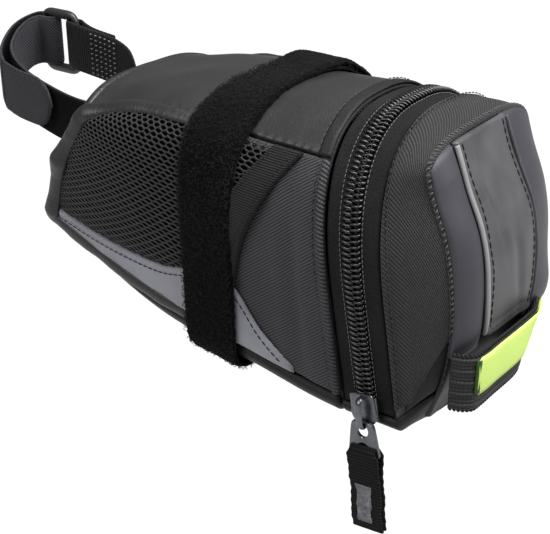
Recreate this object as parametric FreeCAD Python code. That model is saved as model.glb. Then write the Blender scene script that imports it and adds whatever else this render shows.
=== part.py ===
"""Small bicycle saddle bag: an arched fabric tube with a zipped lid, side pockets and two straps.

+X runs back to the lid, -X forward to the seatpost end, -Y is the bag's left and +Z is up. The origin
is the middle of the top panel under the rail strap, where the bag hangs from the saddle. Millimetres.
"""
import FreeCAD, Part
import math
import os
from FreeCAD import Matrix, Vector

# Zip mouth: the arch on which the zip's two halves are sewn, in a plane that leans back towards its foot.
ZIP_X = 46.0
ZIP_TOP = 2.0
BAG_BOTTOM = -88.0
ZIP_LEAN = 0.15
MOUTH_WIDTH = 81.0
MOUTH_FOOT_WIDTH = 79.0
ARCH_HEIGHT = 48.0
TAPE_WIDTH = 9.0
COIL_GAP = 0.75
COIL_WIDTH = 2.4

# Front end of the bag.
FRONT_X = -59.0
FRONT_TOP = -4.5
FRONT_BOTTOM = -57.0
FRONT_WIDTH = 77.0

# Lid: the rear seam's distance back at each height, from top to foot.
LID_TOP = -1.5
LID_BOTTOM = -86.5
LID_WIDTH = 61.0
LID_SEAM_Z = [-86.0, -72.0, -59.0, -44.0, -27.0, -14.0, -2.0]
LID_SEAM_X = [73.0, 77.4, 79.4, 79.2, 76.2, 71.0, 67.6]
LID_CROWN = 5.0
CENTRE_STRIP_HALF = 14.5

# Cloth and board thicknesses.
PANEL = 1.2
BOARD = 0.6
LINING = 0.5
LINING_DEPTH = PANEL + BOARD + 0.9
TAPE = 0.6
COIL = 1.6
STRAP = 1.8
WEBBING = 1.2
LABEL = 0.8
LABEL_HEIGHT = 12.5
LABEL_RISE = 2.4
LABEL_GAP = 0.3
CLEAR = 0.25

# Straps and webbing.
RAIL_STRAP_WIDTH = 20.5
SEATPOST_STRAP_WIDTH = 18.5
LOOP_WIDTH = 18.0
LOOP_MIDDLE_Z = -68.0
LOOP_X = 90.4

# Zip slider, parked at the near foot of the zip.
SLIDER_Z = -80.5
SLIDER_HALF_LENGTH = 5.0
SLIDER_HALF_WIDTH = 4.6

# Sections of the body from the front end (0) to the mouth (1).
STATIONS = [0.0, 0.42, 0.75, 1.0]
BODY_REAR_X = ZIP_X - TAPE_WIDTH
SECTION = {
    "x": [FRONT_X + (BODY_REAR_X - FRONT_X) * s for s in STATIONS],
    "top": [FRONT_TOP, -1.5, 0.8, ZIP_TOP],
    "bottom": [FRONT_BOTTOM, -80.0, -85.5, BAG_BOTTOM],
    "half": [FRONT_WIDTH / 2, 38.5, 40.0, MOUTH_WIDTH / 2],
    "foot": [35.0, 37.0, 38.5, MOUTH_FOOT_WIDTH / 2],
    "arch": [15.0, 23.0, 40.0, ARCH_HEIGHT],
    "power": [3.4, 3.2, 2.6, 2.5],
    "corner": [6.0, 7.0, 6.0, 5.0],
    "lean": [-0.34, -0.04, 0.11, ZIP_LEAN],
}

os.makedirs("parts", exist_ok=True)


def mix(a, b, t):
    """The value t of the way from a to b."""
    return a + (b - a) * t


def steps(low, high, count):
    """count values evenly spaced from low to high."""
    return [mix(low, high, i / (count - 1)) for i in range(count)]


def smooth(knots, values, at):
    """Smooth curve through values at knots, read at one place."""
    if at <= knots[0]:
        return values[0]
    if at >= knots[-1]:
        return values[-1]
    i = max(j for j in range(len(knots) - 1) if knots[j] <= at)
    span = knots[i + 1] - knots[i]
    t = (at - knots[i]) / span

    def slope(j):
        low, high = max(j - 1, 0), min(j + 1, len(knots) - 1)
        steep = [(values[k + 1] - values[k]) / (knots[k + 1] - knots[k]) for k in range(low, high)]
        return sum(steep) / len(steep) * span

    return (
        (2 * t**3 - 3 * t**2 + 1) * values[i]
        + (t**3 - 2 * t**2 + t) * slope(i)
        + (3 * t**2 - 2 * t**3) * values[i + 1]
        + (t**3 - t**2) * slope(i + 1)
    )


def half_outline(v):
    """Half of a section, (y, z) from the top centre round the arch and side to the bottom centre."""
    quarter = [i / 24 * math.pi / 2 for i in range(25)]
    points = [
        (v["half"] * math.sin(a) ** (2 / v["power"]), v["top"] - v["arch"] * (1 - math.cos(a) ** (2 / v["power"])))
        for a in quarter
    ]
    y0, z0 = points[-1]
    y1, z1 = v["foot"], v["bottom"] + v["corner"]
    points += [(mix(y0, y1, i / 8), mix(z0, z1, i / 8)) for i in range(1, 9)]
    turn = [i / 6 * math.pi / 2 for i in range(1, 7)]
    points += [(y1 - v["corner"] * (1 - math.cos(a)), z1 - v["corner"] * math.sin(a)) for a in turn]
    y2, z2 = points[-1]
    points += [(mix(y2, 0, i / 6), z2 - 1.5 * math.sin(turn[i - 1])) for i in range(1, 7)]
    return points


def walk(points, share):
    """The point a share of the way along a polyline."""
    lengths = [0.0]
    for a, b in zip(points, points[1:]):
        lengths.append(lengths[-1] + math.dist(a, b))
    at = share * lengths[-1]
    i = max(j for j in range(len(points) - 1) if lengths[j] <= at + 1e-9)
    t = (at - lengths[i]) / (lengths[i + 1] - lengths[i])
    return [mix(p, q, t) for p, q in zip(points[i], points[i + 1])]


def on_section(v, f):
    """A section's point at the share f of its half outline; negative f is the left side."""
    y, z = walk(half_outline(v), abs(f))
    return Vector(v["x"] + v["lean"] * (v["top"] - z), math.copysign(y, f), z)


def body(s, f):
    """The bag's outer surface from the front end to the mouth."""
    return on_section({k: smooth(STATIONS, values, s) for k, values in SECTION.items()}, f)


def mouth(along, f):
    """The same arch carried on past the zip: along is the distance behind the zip's middle."""
    v = {k: values[-1] for k, values in SECTION.items()}
    v["x"] = ZIP_X + along
    return on_section(v, f)


LID_SECTION = {
    "half": LID_WIDTH / 2,
    "foot": LID_WIDTH / 2 - 1.0,
    "top": LID_TOP,
    "bottom": LID_BOTTOM,
    "arch": 8.0,
    "power": 2.8,
    "corner": 8.0,
    "x": 0.0,
    "lean": 0.0,
}


def lid_side(t, f):
    """The lid's side, from its zip edge (0) to the seam round its rear face (1)."""
    edge = mouth(TAPE_WIDTH, f)
    seam = on_section(LID_SECTION, f)
    seam.x = smooth(LID_SEAM_Z, LID_SEAM_X, seam.z)
    swell = 1.5 * math.sin(math.pi * min(max(t, 0.0), 1.0))
    point = edge + (seam - edge) * t
    point.y += math.copysign(swell, f)
    return point


def lid_rear(u, v):
    """The lid's crowned rear face: u from left to right and v from foot to top, both -1 to 1."""
    s = LID_SECTION
    u = max(min(u, 1.0), -1.0)
    top = s["top"] - s["arch"] * (1 - (1 - abs(u) ** s["power"]) ** (1 / s["power"]))
    bottom = s["bottom"] + s["corner"] * (1 - (1 - abs(u) ** 6) ** (1 / 6))
    z = mix(bottom, top, (v + 1) / 2)
    crown = LID_CROWN * (1 - abs(u) ** 2.4) * max(1 - abs(v - 0.22) ** 2.2, 0.0)
    return Vector(smooth(LID_SEAM_Z, LID_SEAM_X, z) + crown, u * s["half"], z)


def front_face(v, u):
    """The small end wall, facing forward: v from foot to top and u from left to right, both -1 to 1."""
    s = {k: values[0] for k, values in SECTION.items()}
    u = max(min(u, 1.0), -1.0)
    top = s["top"] - s["arch"] * (1 - (1 - abs(u) ** s["power"]) ** (1 / s["power"]))
    bottom = s["bottom"] + s["corner"] * (1 - (1 - abs(u) ** 6) ** (1 / 6))
    z = mix(bottom, top, (v + 1) / 2)
    crown = 3.0 * (1 - u * u) * (1 - v * v)
    x = s["x"] + s["lean"] * (s["top"] - z) - crown
    return Vector(x, u * mix(s["foot"], s["half"], (v + 1) / 2), z)


def raised(surface, a, b, out):
    """The point out millimetres outside a surface."""
    step = 0.004
    along_a = surface(a + step, b) - surface(a - step, b)
    along_b = surface(a, b + step) - surface(a, b - step)
    return surface(a, b) + along_a.cross(along_b).normalize() * out


def net(rows):
    """A smooth face through a grid of points."""
    face = Part.BSplineSurface()
    face.interpolate(rows)
    return face.toShape()


def slab(upper, lower):
    """The closed solid between two grids of points."""
    top, foot = net(upper), net(lower)
    sides = [Part.makeRuledSurface(p, q) for p, q in zip(top.Edges, foot.Edges)]
    shell = Part.Shell([top, foot] + sides)
    shell.sewShape()
    solid = Part.Solid(shell)
    if solid.Volume < 0:
        solid.reverse()
    return solid


def skin(surface, pairs, low, high):
    """Cloth over a grid of places (a, b) on a surface, from low to high millimetres outside it.

    low may be a function of (a, b), and high is then the cloth's thickness above it.
    """
    if callable(low):
        upper = [[raised(surface, a, b, low(a, b) + high) for a, b in row] for row in pairs]
        lower = [[raised(surface, a, b, low(a, b)) for a, b in row] for row in pairs]
    else:
        upper = [[raised(surface, a, b, high) for a, b in row] for row in pairs]
        lower = [[raised(surface, a, b, low) for a, b in row] for row in pairs]
    return slab(upper, lower)


def grid(a_values, b_values):
    """Every pair of the two lists, a row for each a."""
    return [[(a, b) for b in b_values] for a in a_values]


def even_route(route, spacing):
    """The same route as a smooth line with evenly spaced points."""
    at = [0.0]
    for p, q in zip(route, route[1:]):
        at.append(at[-1] + math.dist(p, q))
    count = max(round(at[-1] / spacing), 2) + 1
    axes = [[p[k] for p in route] for k in range(3)]
    return [Vector(*[smooth(at, axis, t) for axis in axes]) for t in steps(0, at[-1], count)]


def band(route, width, thickness, spacing=1.6):
    """A strap that stands on edge along a route of (x, y, z), with its width upright."""
    points = even_route(route, spacing)
    rails = [[], [], [], []]
    for i, p in enumerate(points):
        ahead = points[min(i + 1, len(points) - 1)] - points[max(i - 1, 0)]
        normal = Vector(ahead.y, -ahead.x, 0).normalize() * (thickness / 2)
        tall = Vector(0, 0, width / 2)
        for rail, corner in zip(rails, (normal + tall, normal - tall, -normal - tall, -normal + tall)):
            rail.append(p + corner)
    faces = []
    for a, b in zip(rails, rails[1:] + rails[:1]):
        for i in range(len(points) - 1):
            faces.append(Part.makeRuledSurface(Part.makeLine(a[i], a[i + 1]), Part.makeLine(b[i], b[i + 1])))
    for i in (0, -1):
        faces.append(Part.Face(Part.makePolygon([rail[i] for rail in rails] + [rails[0][i]])))
    shell = Part.Shell(faces)
    shell.sewShape()
    solid = Part.Solid(shell)
    if solid.Volume < 0:
        solid.reverse()
    return solid


def beside(route, distance):
    """The same upright strap's route, moved to the right of the way it runs."""
    moved = []
    for i, p in enumerate(route):
        back, on = route[max(i - 1, 0)], route[min(i + 1, len(route) - 1)]
        ahead = Vector(on[0] - back[0], on[1] - back[1], 0).normalize()
        moved.append((p[0] + ahead.y * distance, p[1] - ahead.x * distance, p[2]))
    return moved


def block(x0, x1, y0, y1, z0, z1):
    """A box between two corners."""
    return Part.makeBox(x1 - x0, y1 - y0, z1 - z0, Vector(x0, y0, z0))


def write(name, shape):
    """Writes one node's file, and says how large its solids are."""
    print(f"{name}: {len(shape.Solids)} solid, {shape.Volume:.0f} mm3, valid {shape.isValid()}")
    shape.exportStep(f"parts/{name}.step")


SIDES = {"left": -1, "right": 1}
BOTTOM_SEAM = 0.71
PANEL_END = 0.992


def under(surface):
    """The surface's underside: the second value runs from 1 at the left seam to -1 at the right one."""
    def point(a, g):
        share = BOTTOM_SEAM + (1 - BOTTOM_SEAM) * (1 - abs(g))
        return surface(a, math.copysign(share, -g))
    return point


def top_seam(s):
    """Where the top panel ends, as a share of the half outline."""
    return 0.228 + 0.10 * (1 - s) ** 6


def pocket_mouth(f):
    """How far back the pocket's open edge lies."""
    return smooth([0.23, 0.34, 0.42, 0.48, 0.57], [0.91, 0.80, 0.735, 0.70, 0.665], abs(f))


def hem_top(s):
    """The upper edge of the reflective hem at the pocket's foot, which runs out to a point at the back."""
    return smooth([0.0, 0.2, 0.4, 0.66, 0.74, 0.85], [0.655, 0.635, 0.605, 0.565, 0.64, 0.695], s)


BINDING = 0.105
POCKET_LIFT = 0.3
KNIT = 0.9


def pocket_fill(s, f):
    """How far the pocket's knit stands off the side panel."""
    along = min(max((s - 0.04) / 0.44, 0.0), 1.0)
    down = min(max((abs(f) - 0.27) / 0.36, 0.0), 1.0)
    return POCKET_LIFT + 2.6 * math.sin(math.pi * along) * math.sin(math.pi * down)


def pocket_place(a, b):
    """The knit's own grid: a runs back to the binding and b down to the hem, both 0 to 1."""
    s = 0.55 * a
    for _ in range(3):
        f = mix(top_seam(s) + 0.004, hem_top(s) - 0.004, b)
        s = mix(0.012, pocket_mouth(f) - BINDING - 0.004, a)
    return s, f


def side_rows(side, lengths, first, last, count):
    """Rows across one side of the bag, each from its own first place round the section to a common last one."""
    return [[(s, side * mix(first(s), last, k)) for k in steps(0, 1, count)] for s in lengths]


def make_body():
    """The body's panels, pockets, boards and lining."""
    lengths = steps(0.004, PANEL_END, 17)
    top = [[(s, top_seam(s) * k) for k in steps(-0.99, 0.99, 25)] for s in lengths]
    write("top_panel", skin(body, top, -PANEL, 0.0))
    face = grid(steps(-0.98, 0.98, 11), steps(-0.98, 0.98, 15))
    write("front_panel", skin(front_face, face, 0.1, PANEL + 0.1))
    write("bottom_panel", skin(under(body), grid(lengths, steps(-0.985, 0.985, 19)), -PANEL, 0.0))
    for name, side in SIDES.items():
        panel = side_rows(side, lengths, lambda s: top_seam(s) + 0.002, BOTTOM_SEAM - 0.003, 15)
        write(f"side_panel_{name}", skin(body, panel, -PANEL, 0.0))
        knit = [[pocket_place(a, b) for b in steps(0, 1, 11)] for a in steps(0, 1, 15)]
        knit = [[(s, side * f) for s, f in row] for row in knit]
        write(f"mesh_pocket_{name}", skin(body, knit, pocket_fill, KNIT))
        slant = steps(0.24, 0.555, 11)
        edge = [[(pocket_mouth(f) - BINDING * (1 - k), side * f) for f in slant] for k in steps(0, 1, 4)]
        write(f"pocket_binding_{name}", skin(body, edge, 0.3, 1.5))
        hem = side_rows(side, steps(0.012, 0.84, 15), hem_top, BOTTOM_SEAM - 0.008, 5)
        write(f"pocket_hem_{name}", skin(body, hem, 0.3, 1.0))
    facing = grid(steps(0.945, PANEL_END, 3), steps(-0.70, 0.70, 41))
    write("body_zip_facing", skin(body, facing, 0.1, 0.8))
    board = grid(steps(0.06, 0.93, 11), steps(-0.20, 0.20, 11))
    write("top_stiffener", skin(body, board, -PANEL - 0.1 - BOARD, -PANEL - 0.1))
    board = grid(steps(0.06, 0.93, 11), steps(-0.85, 0.85, 11))
    write("bottom_stiffener", skin(under(body), board, -PANEL - 0.1 - BOARD, -PANEL - 0.1))
    tube = grid(steps(0.02, 0.985, 15), steps(-0.998, 0.998, 61))
    write("body_lining", skin(body, tube, -LINING_DEPTH - LINING, -LINING_DEPTH))


ZIP_END = 0.715
COIL_END = 0.69
TAPE_LEVEL = -1.6
COIL_LEVEL = TAPE_LEVEL + TAPE + 0.06


def make_zip_half(name, side):
    """A tape with its coil: side is -1 on the body and 1 on the lid."""
    edge = COIL_GAP + COIL_WIDTH
    tape = [[(side * a, f) for f in steps(-ZIP_END, ZIP_END, 41)] for a in steps(COIL_GAP, TAPE_WIDTH - 0.3, 3)]
    coil = [[(side * a, f) for f in steps(-COIL_END, COIL_END, 41)] for a in steps(COIL_GAP, edge, 3)]
    write(f"{name}_zip_tape", skin(mouth, tape, TAPE_LEVEL, TAPE_LEVEL + TAPE))
    write(f"{name}_coil", skin(mouth, coil, COIL_LEVEL, COIL_LEVEL + COIL))
    strip = [[(side * a, g) for g in steps(-0.83, 0.83, 15)] for a in steps(0.4, TAPE_WIDTH - 1.0, 3)]
    write(f"{name}_hinge_strip", skin(under(mouth), strip, -PANEL, -0.2))


def make_lid():
    """The lid's band, rear panels, foot, board and lining, and the webbing loop across its foot."""
    depth = steps(0.03, 0.97, 7)
    write("lid_gusset", skin(lid_side, grid(depth, steps(-0.70, 0.70, 45)), -PANEL, 0.0))
    write("lid_bottom", skin(under(lid_side), grid(depth, steps(-0.96, 0.96, 15)), -PANEL, 0.0))
    high = steps(-0.98, 0.98, 17)
    part = CENTRE_STRIP_HALF / (LID_WIDTH / 2)
    spans = {"lid_panel_left": (-0.975, -part - 0.012), "lid_panel_right": (part + 0.012, 0.975)}
    for name, (low, up) in spans.items():
        write(name, skin(lid_rear, grid(steps(low, up, 9), high), 0.1, PANEL + 0.1))
    write("lid_centre_strip", skin(lid_rear, grid(steps(-part, part, 11), high), 0.3, PANEL + 0.6))
    board = grid(steps(-0.92, 0.92, 11), steps(-0.92, 0.92, 11))
    write("lid_stiffener", skin(lid_rear, board, -0.1 - BOARD, -0.1))
    inside = grid(steps(0.05, 0.9, 7), steps(-0.998, 0.998, 61))
    tube = skin(lid_side, inside, -PANEL - 0.3 - LINING, -PANEL - 0.3)
    square = grid(steps(-0.88, 0.88, 11), steps(-0.88, 0.88, 11))
    back = skin(lid_rear, square, -0.3 - BOARD - LINING, -0.3 - BOARD)
    write("lid_lining", Part.Compound([tube, back]))
    z, x = LOOP_MIDDLE_Z, LOOP_X
    route = [(80.8, -30.8, z), (84.4, -30, z), (87.6, -27, z), (89.3, -21, z), (x, -12, z), (x, -4, z)]
    route += [(x - 0.8, 5, z), (x - 2.8, 14, z), (x - 5.8, 23, z), (81.0, 29.8, z)]
    write("light_loop", band(route, LOOP_WIDTH, WEBBING))
    off = WEBBING / 2 + LABEL / 2 + LABEL_GAP
    label = [(x, y, z + LABEL_RISE) for x, y, z in beside(route[2:-1], off)]
    write("loop_label", band(label, LABEL_HEIGHT, LABEL))


STRAP_LOW = 0.3
STRAP_SAG = 1.6
LAP_END = 0.42


def strap_lift(s, f):
    """How far the rail strap lies off the body: over the pockets at the sides, and slack below the bag."""
    def rise(low, high):
        t = min(max((abs(f) - low) / (high - low), 0.0), 1.0)
        return t * t * (3 - 2 * t)
    return STRAP_LOW + 1.5 * rise(0.19, 0.27) + STRAP_SAG * rise(0.78, 0.98)


def station_at(x, f):
    """How far back along the body its outer surface reaches the plane at x."""
    low, high = 0.0, 1.0
    for _ in range(20):
        middle = (low + high) / 2
        if body(middle, f).x < x:
            low = middle
        else:
            high = middle
    return low


def strap_rows(shares):
    """The rail strap's grid: across its width, and along it by shares of the half outline."""
    edges = steps(-RAIL_STRAP_WIDTH / 2, RAIL_STRAP_WIDTH / 2, 3)
    return [[(station_at(x, f), f) for f in shares] for x in edges]


def make_rail_strap():
    """The strap round the bag, its fixed lap on the right side, and the free end below that."""
    write("rail_strap", skin(body, strap_rows(steps(-0.998, 0.998, 73)), strap_lift, STRAP))
    over = STRAP + CLEAR
    lap = strap_rows(steps(0.02, LAP_END, 17))
    write("rail_strap_lap", skin(body, lap, lambda s, f: strap_lift(s, f) + over, STRAP))
    end = strap_rows(steps(LAP_END + 0.004, 0.69, 9))
    write("rail_strap_end", skin(body, end, lambda s, f: strap_lift(s, f) + over, STRAP))
    at = LAP_END + 0.002
    hinge = raised(body, station_at(0, at), at, strap_lift(0, at) + over + STRAP)
    print("rail strap end's hinge", [round(x, 2) for x in hinge])


# Ring at the end of the short webbing, in front of the bag: centre, and half sizes.
RING = Vector(-114.0, 14.0, -10.5)
RING_HALF_X = 9.5
RING_HALF_Z = 11.9
RING_BAR = 2.4
STRAP_TURN = 2.9
WEBBING_TURN = 2.5


def round_bar(x, radius):
    """Half a turn round one of the ring's upright bars, on the side that faces the other bar."""
    side = math.copysign(1, RING.x - x)
    turn = [math.radians(d) for d in (0, 45, 90, 135, 180)]
    return [(x + side * radius * math.sin(a), RING.y - radius * math.cos(a), RING.z) for a in turn]


def make_seatpost_strap():
    """The strap that goes round the seat post, the ring that it turns back through, and its webbing."""
    half_x, half_z = RING_HALF_X, RING_HALF_Z
    hole = block(-half_x + RING_BAR, half_x - RING_BAR, -5, 5, -half_z + RING_BAR, half_z - RING_BAR)
    ring = block(-half_x, half_x, -RING_BAR / 2, RING_BAR / 2, -half_z, half_z)
    upright = [e for e in ring.Edges if abs(e.Vertexes[0].Y - e.Vertexes[1].Y) > 1]
    ring = ring.makeFillet(2.0, upright).cut(hole)
    ring.translate(RING)
    write("seatpost_buckle", ring)
    end_wall = skin(front_face, grid(steps(-0.98, 0.98, 11), steps(-0.98, 0.98, 15)), -12.0, PANEL + 0.3)
    near = [(-68.0, -11, -30), (-80, -14.4, -28), (-92, -15.6, -25), (-104, -15, -21.5), (-111, -12.8, -19)]
    curl = [(-117, -8.5, -16.5), (-121, -2, -13.6), (-122.8, 4.5, -11.4), (-123.2, 8.6, -10.7)]
    back = [(-125.2, 14.5, -10), (-126.4, 9, -10.6), (-125.8, 2, -12), (-123, -6, -15), (-118.5, -12.5, -18)]
    back += [(-113, -16.5, -19.6)]
    eye = round_bar(RING.x - half_x + RING_BAR / 2, STRAP_TURN)
    strap = band(near + curl + eye + back, SEATPOST_STRAP_WIDTH, STRAP)
    write("seatpost_strap", strap.cut(end_wall))
    tip = [(-112.4, -16.8, -19.8), (-105, -18.4, -20.8), (-97, -18.8, -21.6), (-87.5, -18.8, -22)]
    write("seatpost_strap_tip", band(tip, SEATPOST_STRAP_WIDTH, STRAP))
    out = [(-66, 11, -31), (-72, 12.5, -28.5), (-75.5, 13.4, -24.5), (-79, 13.8, -17.5), (-84, 14, -14.8)]
    out += [(-91, 13.6, -13.2), (-98, 12.8, -12), (-102, 12, -11.2)]
    turn = round_bar(RING.x + half_x - RING_BAR / 2, WEBBING_TURN)
    layer = [(-103, 15.6, -11), (-98, 14.8, -12), (-88, 15.6, -13.6)]
    webbing = band(out + turn + layer, SEATPOST_STRAP_WIDTH - 0.5, WEBBING)
    write("buckle_webbing", webbing.cut(end_wall))


def slider_frame():
    """Where the slider stands: x back, y into the bag and z up along the straight side of the zip."""
    v = {k: values[-1] for k, values in SECTION.items()}
    outline = half_outline(v)
    foot, shoulder = outline[32], outline[24]
    ends = [Vector(ZIP_X + ZIP_LEAN * (ZIP_TOP - z), -y, z) for y, z in (foot, shoulder)]
    up = (ends[1] - ends[0]).normalize()
    back = (Vector(1, 0, 0) - up * up.x).normalize()
    inward = up.cross(back)
    at = ends[0] + up * ((SLIDER_Z - ends[0].z) / up.z)
    rows = [(back[k], inward[k], up[k], at[k]) for k in range(3)]
    return Matrix(*rows[0], *rows[1], *rows[2], 0, 0, 0, 1)


# Puller: the tab hangs from the foot of the slider's bridge, and the ribbon from a bar at the tab's foot.
TAB_PIVOT_Y = -3.0
TAB_PIVOT_Z = -4.2
PULL_LEAN = math.radians(6.0)
TAB_THICK = 1.3
TAB_LENGTH = 10.8
EYE_HALF = 1.9
EYE_DEPTH = 3.4
RIBBON_PIVOT = -9.8
RIBBON_FOOT = -39.0
RIBBON_WIDTH = 10.6
RIBBON_THICK = 2.6


def rod(x0, x1, z, radius):
    """A round bar along x."""
    return Part.makeCylinder(radius, x1 - x0, Vector(x0, 0, z), Vector(1, 0, 0))


def placed(shape, place):
    """The shape moved to where a frame stands."""
    moved = shape.copy()
    moved.transformShape(place)
    return moved


def puller_frame(place):
    """Where the tab turns: x along the bag, y into it and z up, leaning back a little less than the zip."""
    at = place.multiply(Vector(0, TAB_PIVOT_Y, TAB_PIVOT_Z))
    c, s = math.cos(PULL_LEAN), math.sin(PULL_LEAN)
    return Matrix(c, 0, -s, at.x, 0, 1, 0, at.y, s, 0, c, at.z, 0, 0, 0, 1)


def make_slider():
    """The slider with its bridge, the puller that swings on it, and the ribbon that swings on the puller."""
    place = slider_frame()
    half, wide = SLIDER_HALF_LENGTH, SLIDER_HALF_WIDTH
    plates = block(-wide, wide, -2.0, -1.0, -half, half).fuse(block(-wide, wide, 2.0, 2.9, -half, half))
    post = block(-0.5, 0.5, -1.5, 2.5, -half, -half + 2.4)
    flange = block(-wide, -wide + 0.8, -1.5, 0.6, -half, half)
    slider = plates.fuse([post, flange]).removeSplitter()
    bridge = block(-0.8, 0.8, -5.0, -2.0, -6.0, 4.0).cut(block(-1, 1, -4.0, -2.0, -5.1, 3.0))
    write("slider_body", placed(slider, place))
    write("slider_bridge", placed(bridge, place))

    hang = puller_frame(place)
    edge = TAB_THICK / 2
    outline = [(-3.9, 0), (3.9, 0), (5.3, -TAB_LENGTH), (-5.3, -TAB_LENGTH)]
    wire = Part.makePolygon([Vector(x, -edge, z) for x, z in outline + outline[:1]])
    plate = Part.Face(wire).extrude(Vector(0, TAB_THICK, 0))
    eye = block(-EYE_HALF, EYE_HALF, -2, 2, -EYE_DEPTH, 0.1)
    eye = eye.fuse(Part.makeCylinder(EYE_HALF, 4, Vector(0, -2, -EYE_DEPTH), Vector(0, 1, 0)))
    slot = block(-3.5, 3.5, -2, 2, RIBBON_PIVOT + 0.8, RIBBON_PIVOT + 3.2)
    tab = plate.cut(eye).cut(slot).fuse(rod(-3.9, 3.9, 0, 0.65)).removeSplitter()
    loop = rod(-3.2, 3.2, RIBBON_PIVOT, 2.1).cut(rod(-4, 4, RIBBON_PIVOT, 1.3))
    depth, wide = RIBBON_THICK / 2, RIBBON_WIDTH / 2
    neck = block(-3.2, 3.2, -depth, depth, RIBBON_PIVOT - 3.6, RIBBON_PIVOT - 1.4)
    neck = neck.cut(rod(-4, 4, RIBBON_PIVOT, 1.5))
    strip = block(-wide, wide, -depth, depth, RIBBON_FOOT, RIBBON_PIVOT - 3.2)
    ribbon = loop.fuse([neck, strip]).removeSplitter()
    patch = block(-3.0, 2.2, -depth - 0.3, -depth, RIBBON_FOOT + 4, RIBBON_FOOT + 17)
    for name, shape in {"pull_tab": tab, "pull_ribbon": ribbon, "ribbon_patch": patch}.items():
        write(name, placed(shape, hang))
    near = placed(block(-2.6, -0.7, -0.6, 0.9, -1.4, 0.2), place)
    far = near.mirror(Vector(0, 0, 0), Vector(0, 1, 0))
    write("zip_stops", Part.Compound([near, far]))
    print("slider", [round(c, 3) for c in place.multiply(Vector(0, 0, 0))])
    print("slide direction", [round(place.A13, 5), round(place.A23, 5), round(place.A33, 5)])
    print("tab pivot", [round(c, 3) for c in hang.multiply(Vector(0, 0, 0))])
    print("ribbon pivot", [round(c, 3) for c in hang.multiply(Vector(0, 0, RIBBON_PIVOT))])
    print("pivot direction", [round(hang.A11, 5), 0.0, round(hang.A31, 5)])


make_body()
make_zip_half("body", -1)
make_zip_half("lid", 1)
make_lid()
make_rail_strap()
make_seatpost_strap()
make_slider()
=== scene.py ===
"""Looks of a small bicycle saddle bag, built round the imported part. +X is back, +Z up, -Y the bag's left.

The bag's surfaces are the same formulas as in the part's source, in millimetres, as tables of points.
Every piece of cloth is a closed mesh laid on one of those surfaces.
"""
import bmesh
import bpy
import math
import numpy as np
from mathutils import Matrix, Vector, noise


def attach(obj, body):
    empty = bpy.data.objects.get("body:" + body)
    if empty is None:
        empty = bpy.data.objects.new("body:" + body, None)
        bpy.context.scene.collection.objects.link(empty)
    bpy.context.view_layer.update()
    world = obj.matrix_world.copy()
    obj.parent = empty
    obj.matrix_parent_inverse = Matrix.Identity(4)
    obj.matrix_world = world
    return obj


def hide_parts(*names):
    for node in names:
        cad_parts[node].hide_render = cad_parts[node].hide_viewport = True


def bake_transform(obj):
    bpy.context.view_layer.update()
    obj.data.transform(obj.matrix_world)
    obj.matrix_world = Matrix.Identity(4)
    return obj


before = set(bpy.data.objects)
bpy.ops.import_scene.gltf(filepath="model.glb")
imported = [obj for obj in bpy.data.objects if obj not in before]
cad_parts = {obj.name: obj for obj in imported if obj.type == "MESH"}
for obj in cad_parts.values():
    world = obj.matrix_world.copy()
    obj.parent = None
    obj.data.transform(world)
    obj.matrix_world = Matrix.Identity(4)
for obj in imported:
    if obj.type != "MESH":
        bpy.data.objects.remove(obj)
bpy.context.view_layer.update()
MM = 0.001

# The bag's own sizes, in millimetres.
ZIP_X, ZIP_TOP, BAG_BOTTOM, ZIP_LEAN = 46.0, 2.0, -88.0, 0.15
TAPE_WIDTH, COIL_GAP = 9.0, 0.75
FRONT_X, BODY_REAR_X = -59.0, 37.0
LID_HALF, LID_TOP, LID_BOTTOM, LID_CROWN = 30.5, -1.5, -86.5, 5.0
LID_SEAM_Z = [-86.0, -72.0, -59.0, -44.0, -27.0, -14.0, -2.0]
LID_SEAM_X = [73.0, 77.4, 79.4, 79.2, 76.2, 71.0, 67.6]
CENTRE_STRIP_HALF = 14.5
BOTTOM_SEAM = 0.71
STATIONS = [0.0, 0.42, 0.75, 1.0]
SECTION = {
    "x": [FRONT_X + (BODY_REAR_X - FRONT_X) * s for s in STATIONS],
    "top": [-4.5, -1.5, 0.8, ZIP_TOP],
    "bottom": [-57.0, -80.0, -85.5, BAG_BOTTOM],
    "half": [38.5, 38.5, 40.0, 40.5],
    "foot": [35.0, 37.0, 38.5, 39.5],
    "arch": [15.0, 23.0, 40.0, 48.0],
    "power": [3.4, 3.2, 2.6, 2.5],
    "corner": [6.0, 7.0, 6.0, 5.0],
    "lean": [-0.34, -0.04, 0.11, ZIP_LEAN],
}
LID_SECTION = {
    "half": LID_HALF,
    "foot": LID_HALF - 1,
    "top": LID_TOP,
    "bottom": LID_BOTTOM,
    "arch": 8.0,
    "power": 2.8,
    "corner": 8.0,
    "x": 0.0,
    "lean": 0.0,
}
RAIL_STRAP_HALF = 10.25
STRAP = 1.8
RING = np.array([-114.0, 14.0, -10.5])
RING_HALF_X, RING_HALF_Z, RING_BAR = 9.5, 11.9, 2.4


# ---------------------------------------------------------------- curves and surfaces

def smooth(knots, values, at):
    """Smooth curve through values at knots, read at one place."""
    if at <= knots[0]:
        return values[0]
    if at >= knots[-1]:
        return values[-1]
    i = max(j for j in range(len(knots) - 1) if knots[j] <= at)
    span = knots[i + 1] - knots[i]
    t = (at - knots[i]) / span

    def slope(j):
        low, high = max(j - 1, 0), min(j + 1, len(knots) - 1)
        steep = [(values[k + 1] - values[k]) / (knots[k + 1] - knots[k]) for k in range(low, high)]
        return sum(steep) / len(steep) * span

    return (
        (2 * t**3 - 3 * t**2 + 1) * values[i]
        + (t**3 - 2 * t**2 + t) * slope(i)
        + (3 * t**2 - 2 * t**3) * values[i + 1]
        + (t**3 - t**2) * slope(i + 1)
    )


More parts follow.
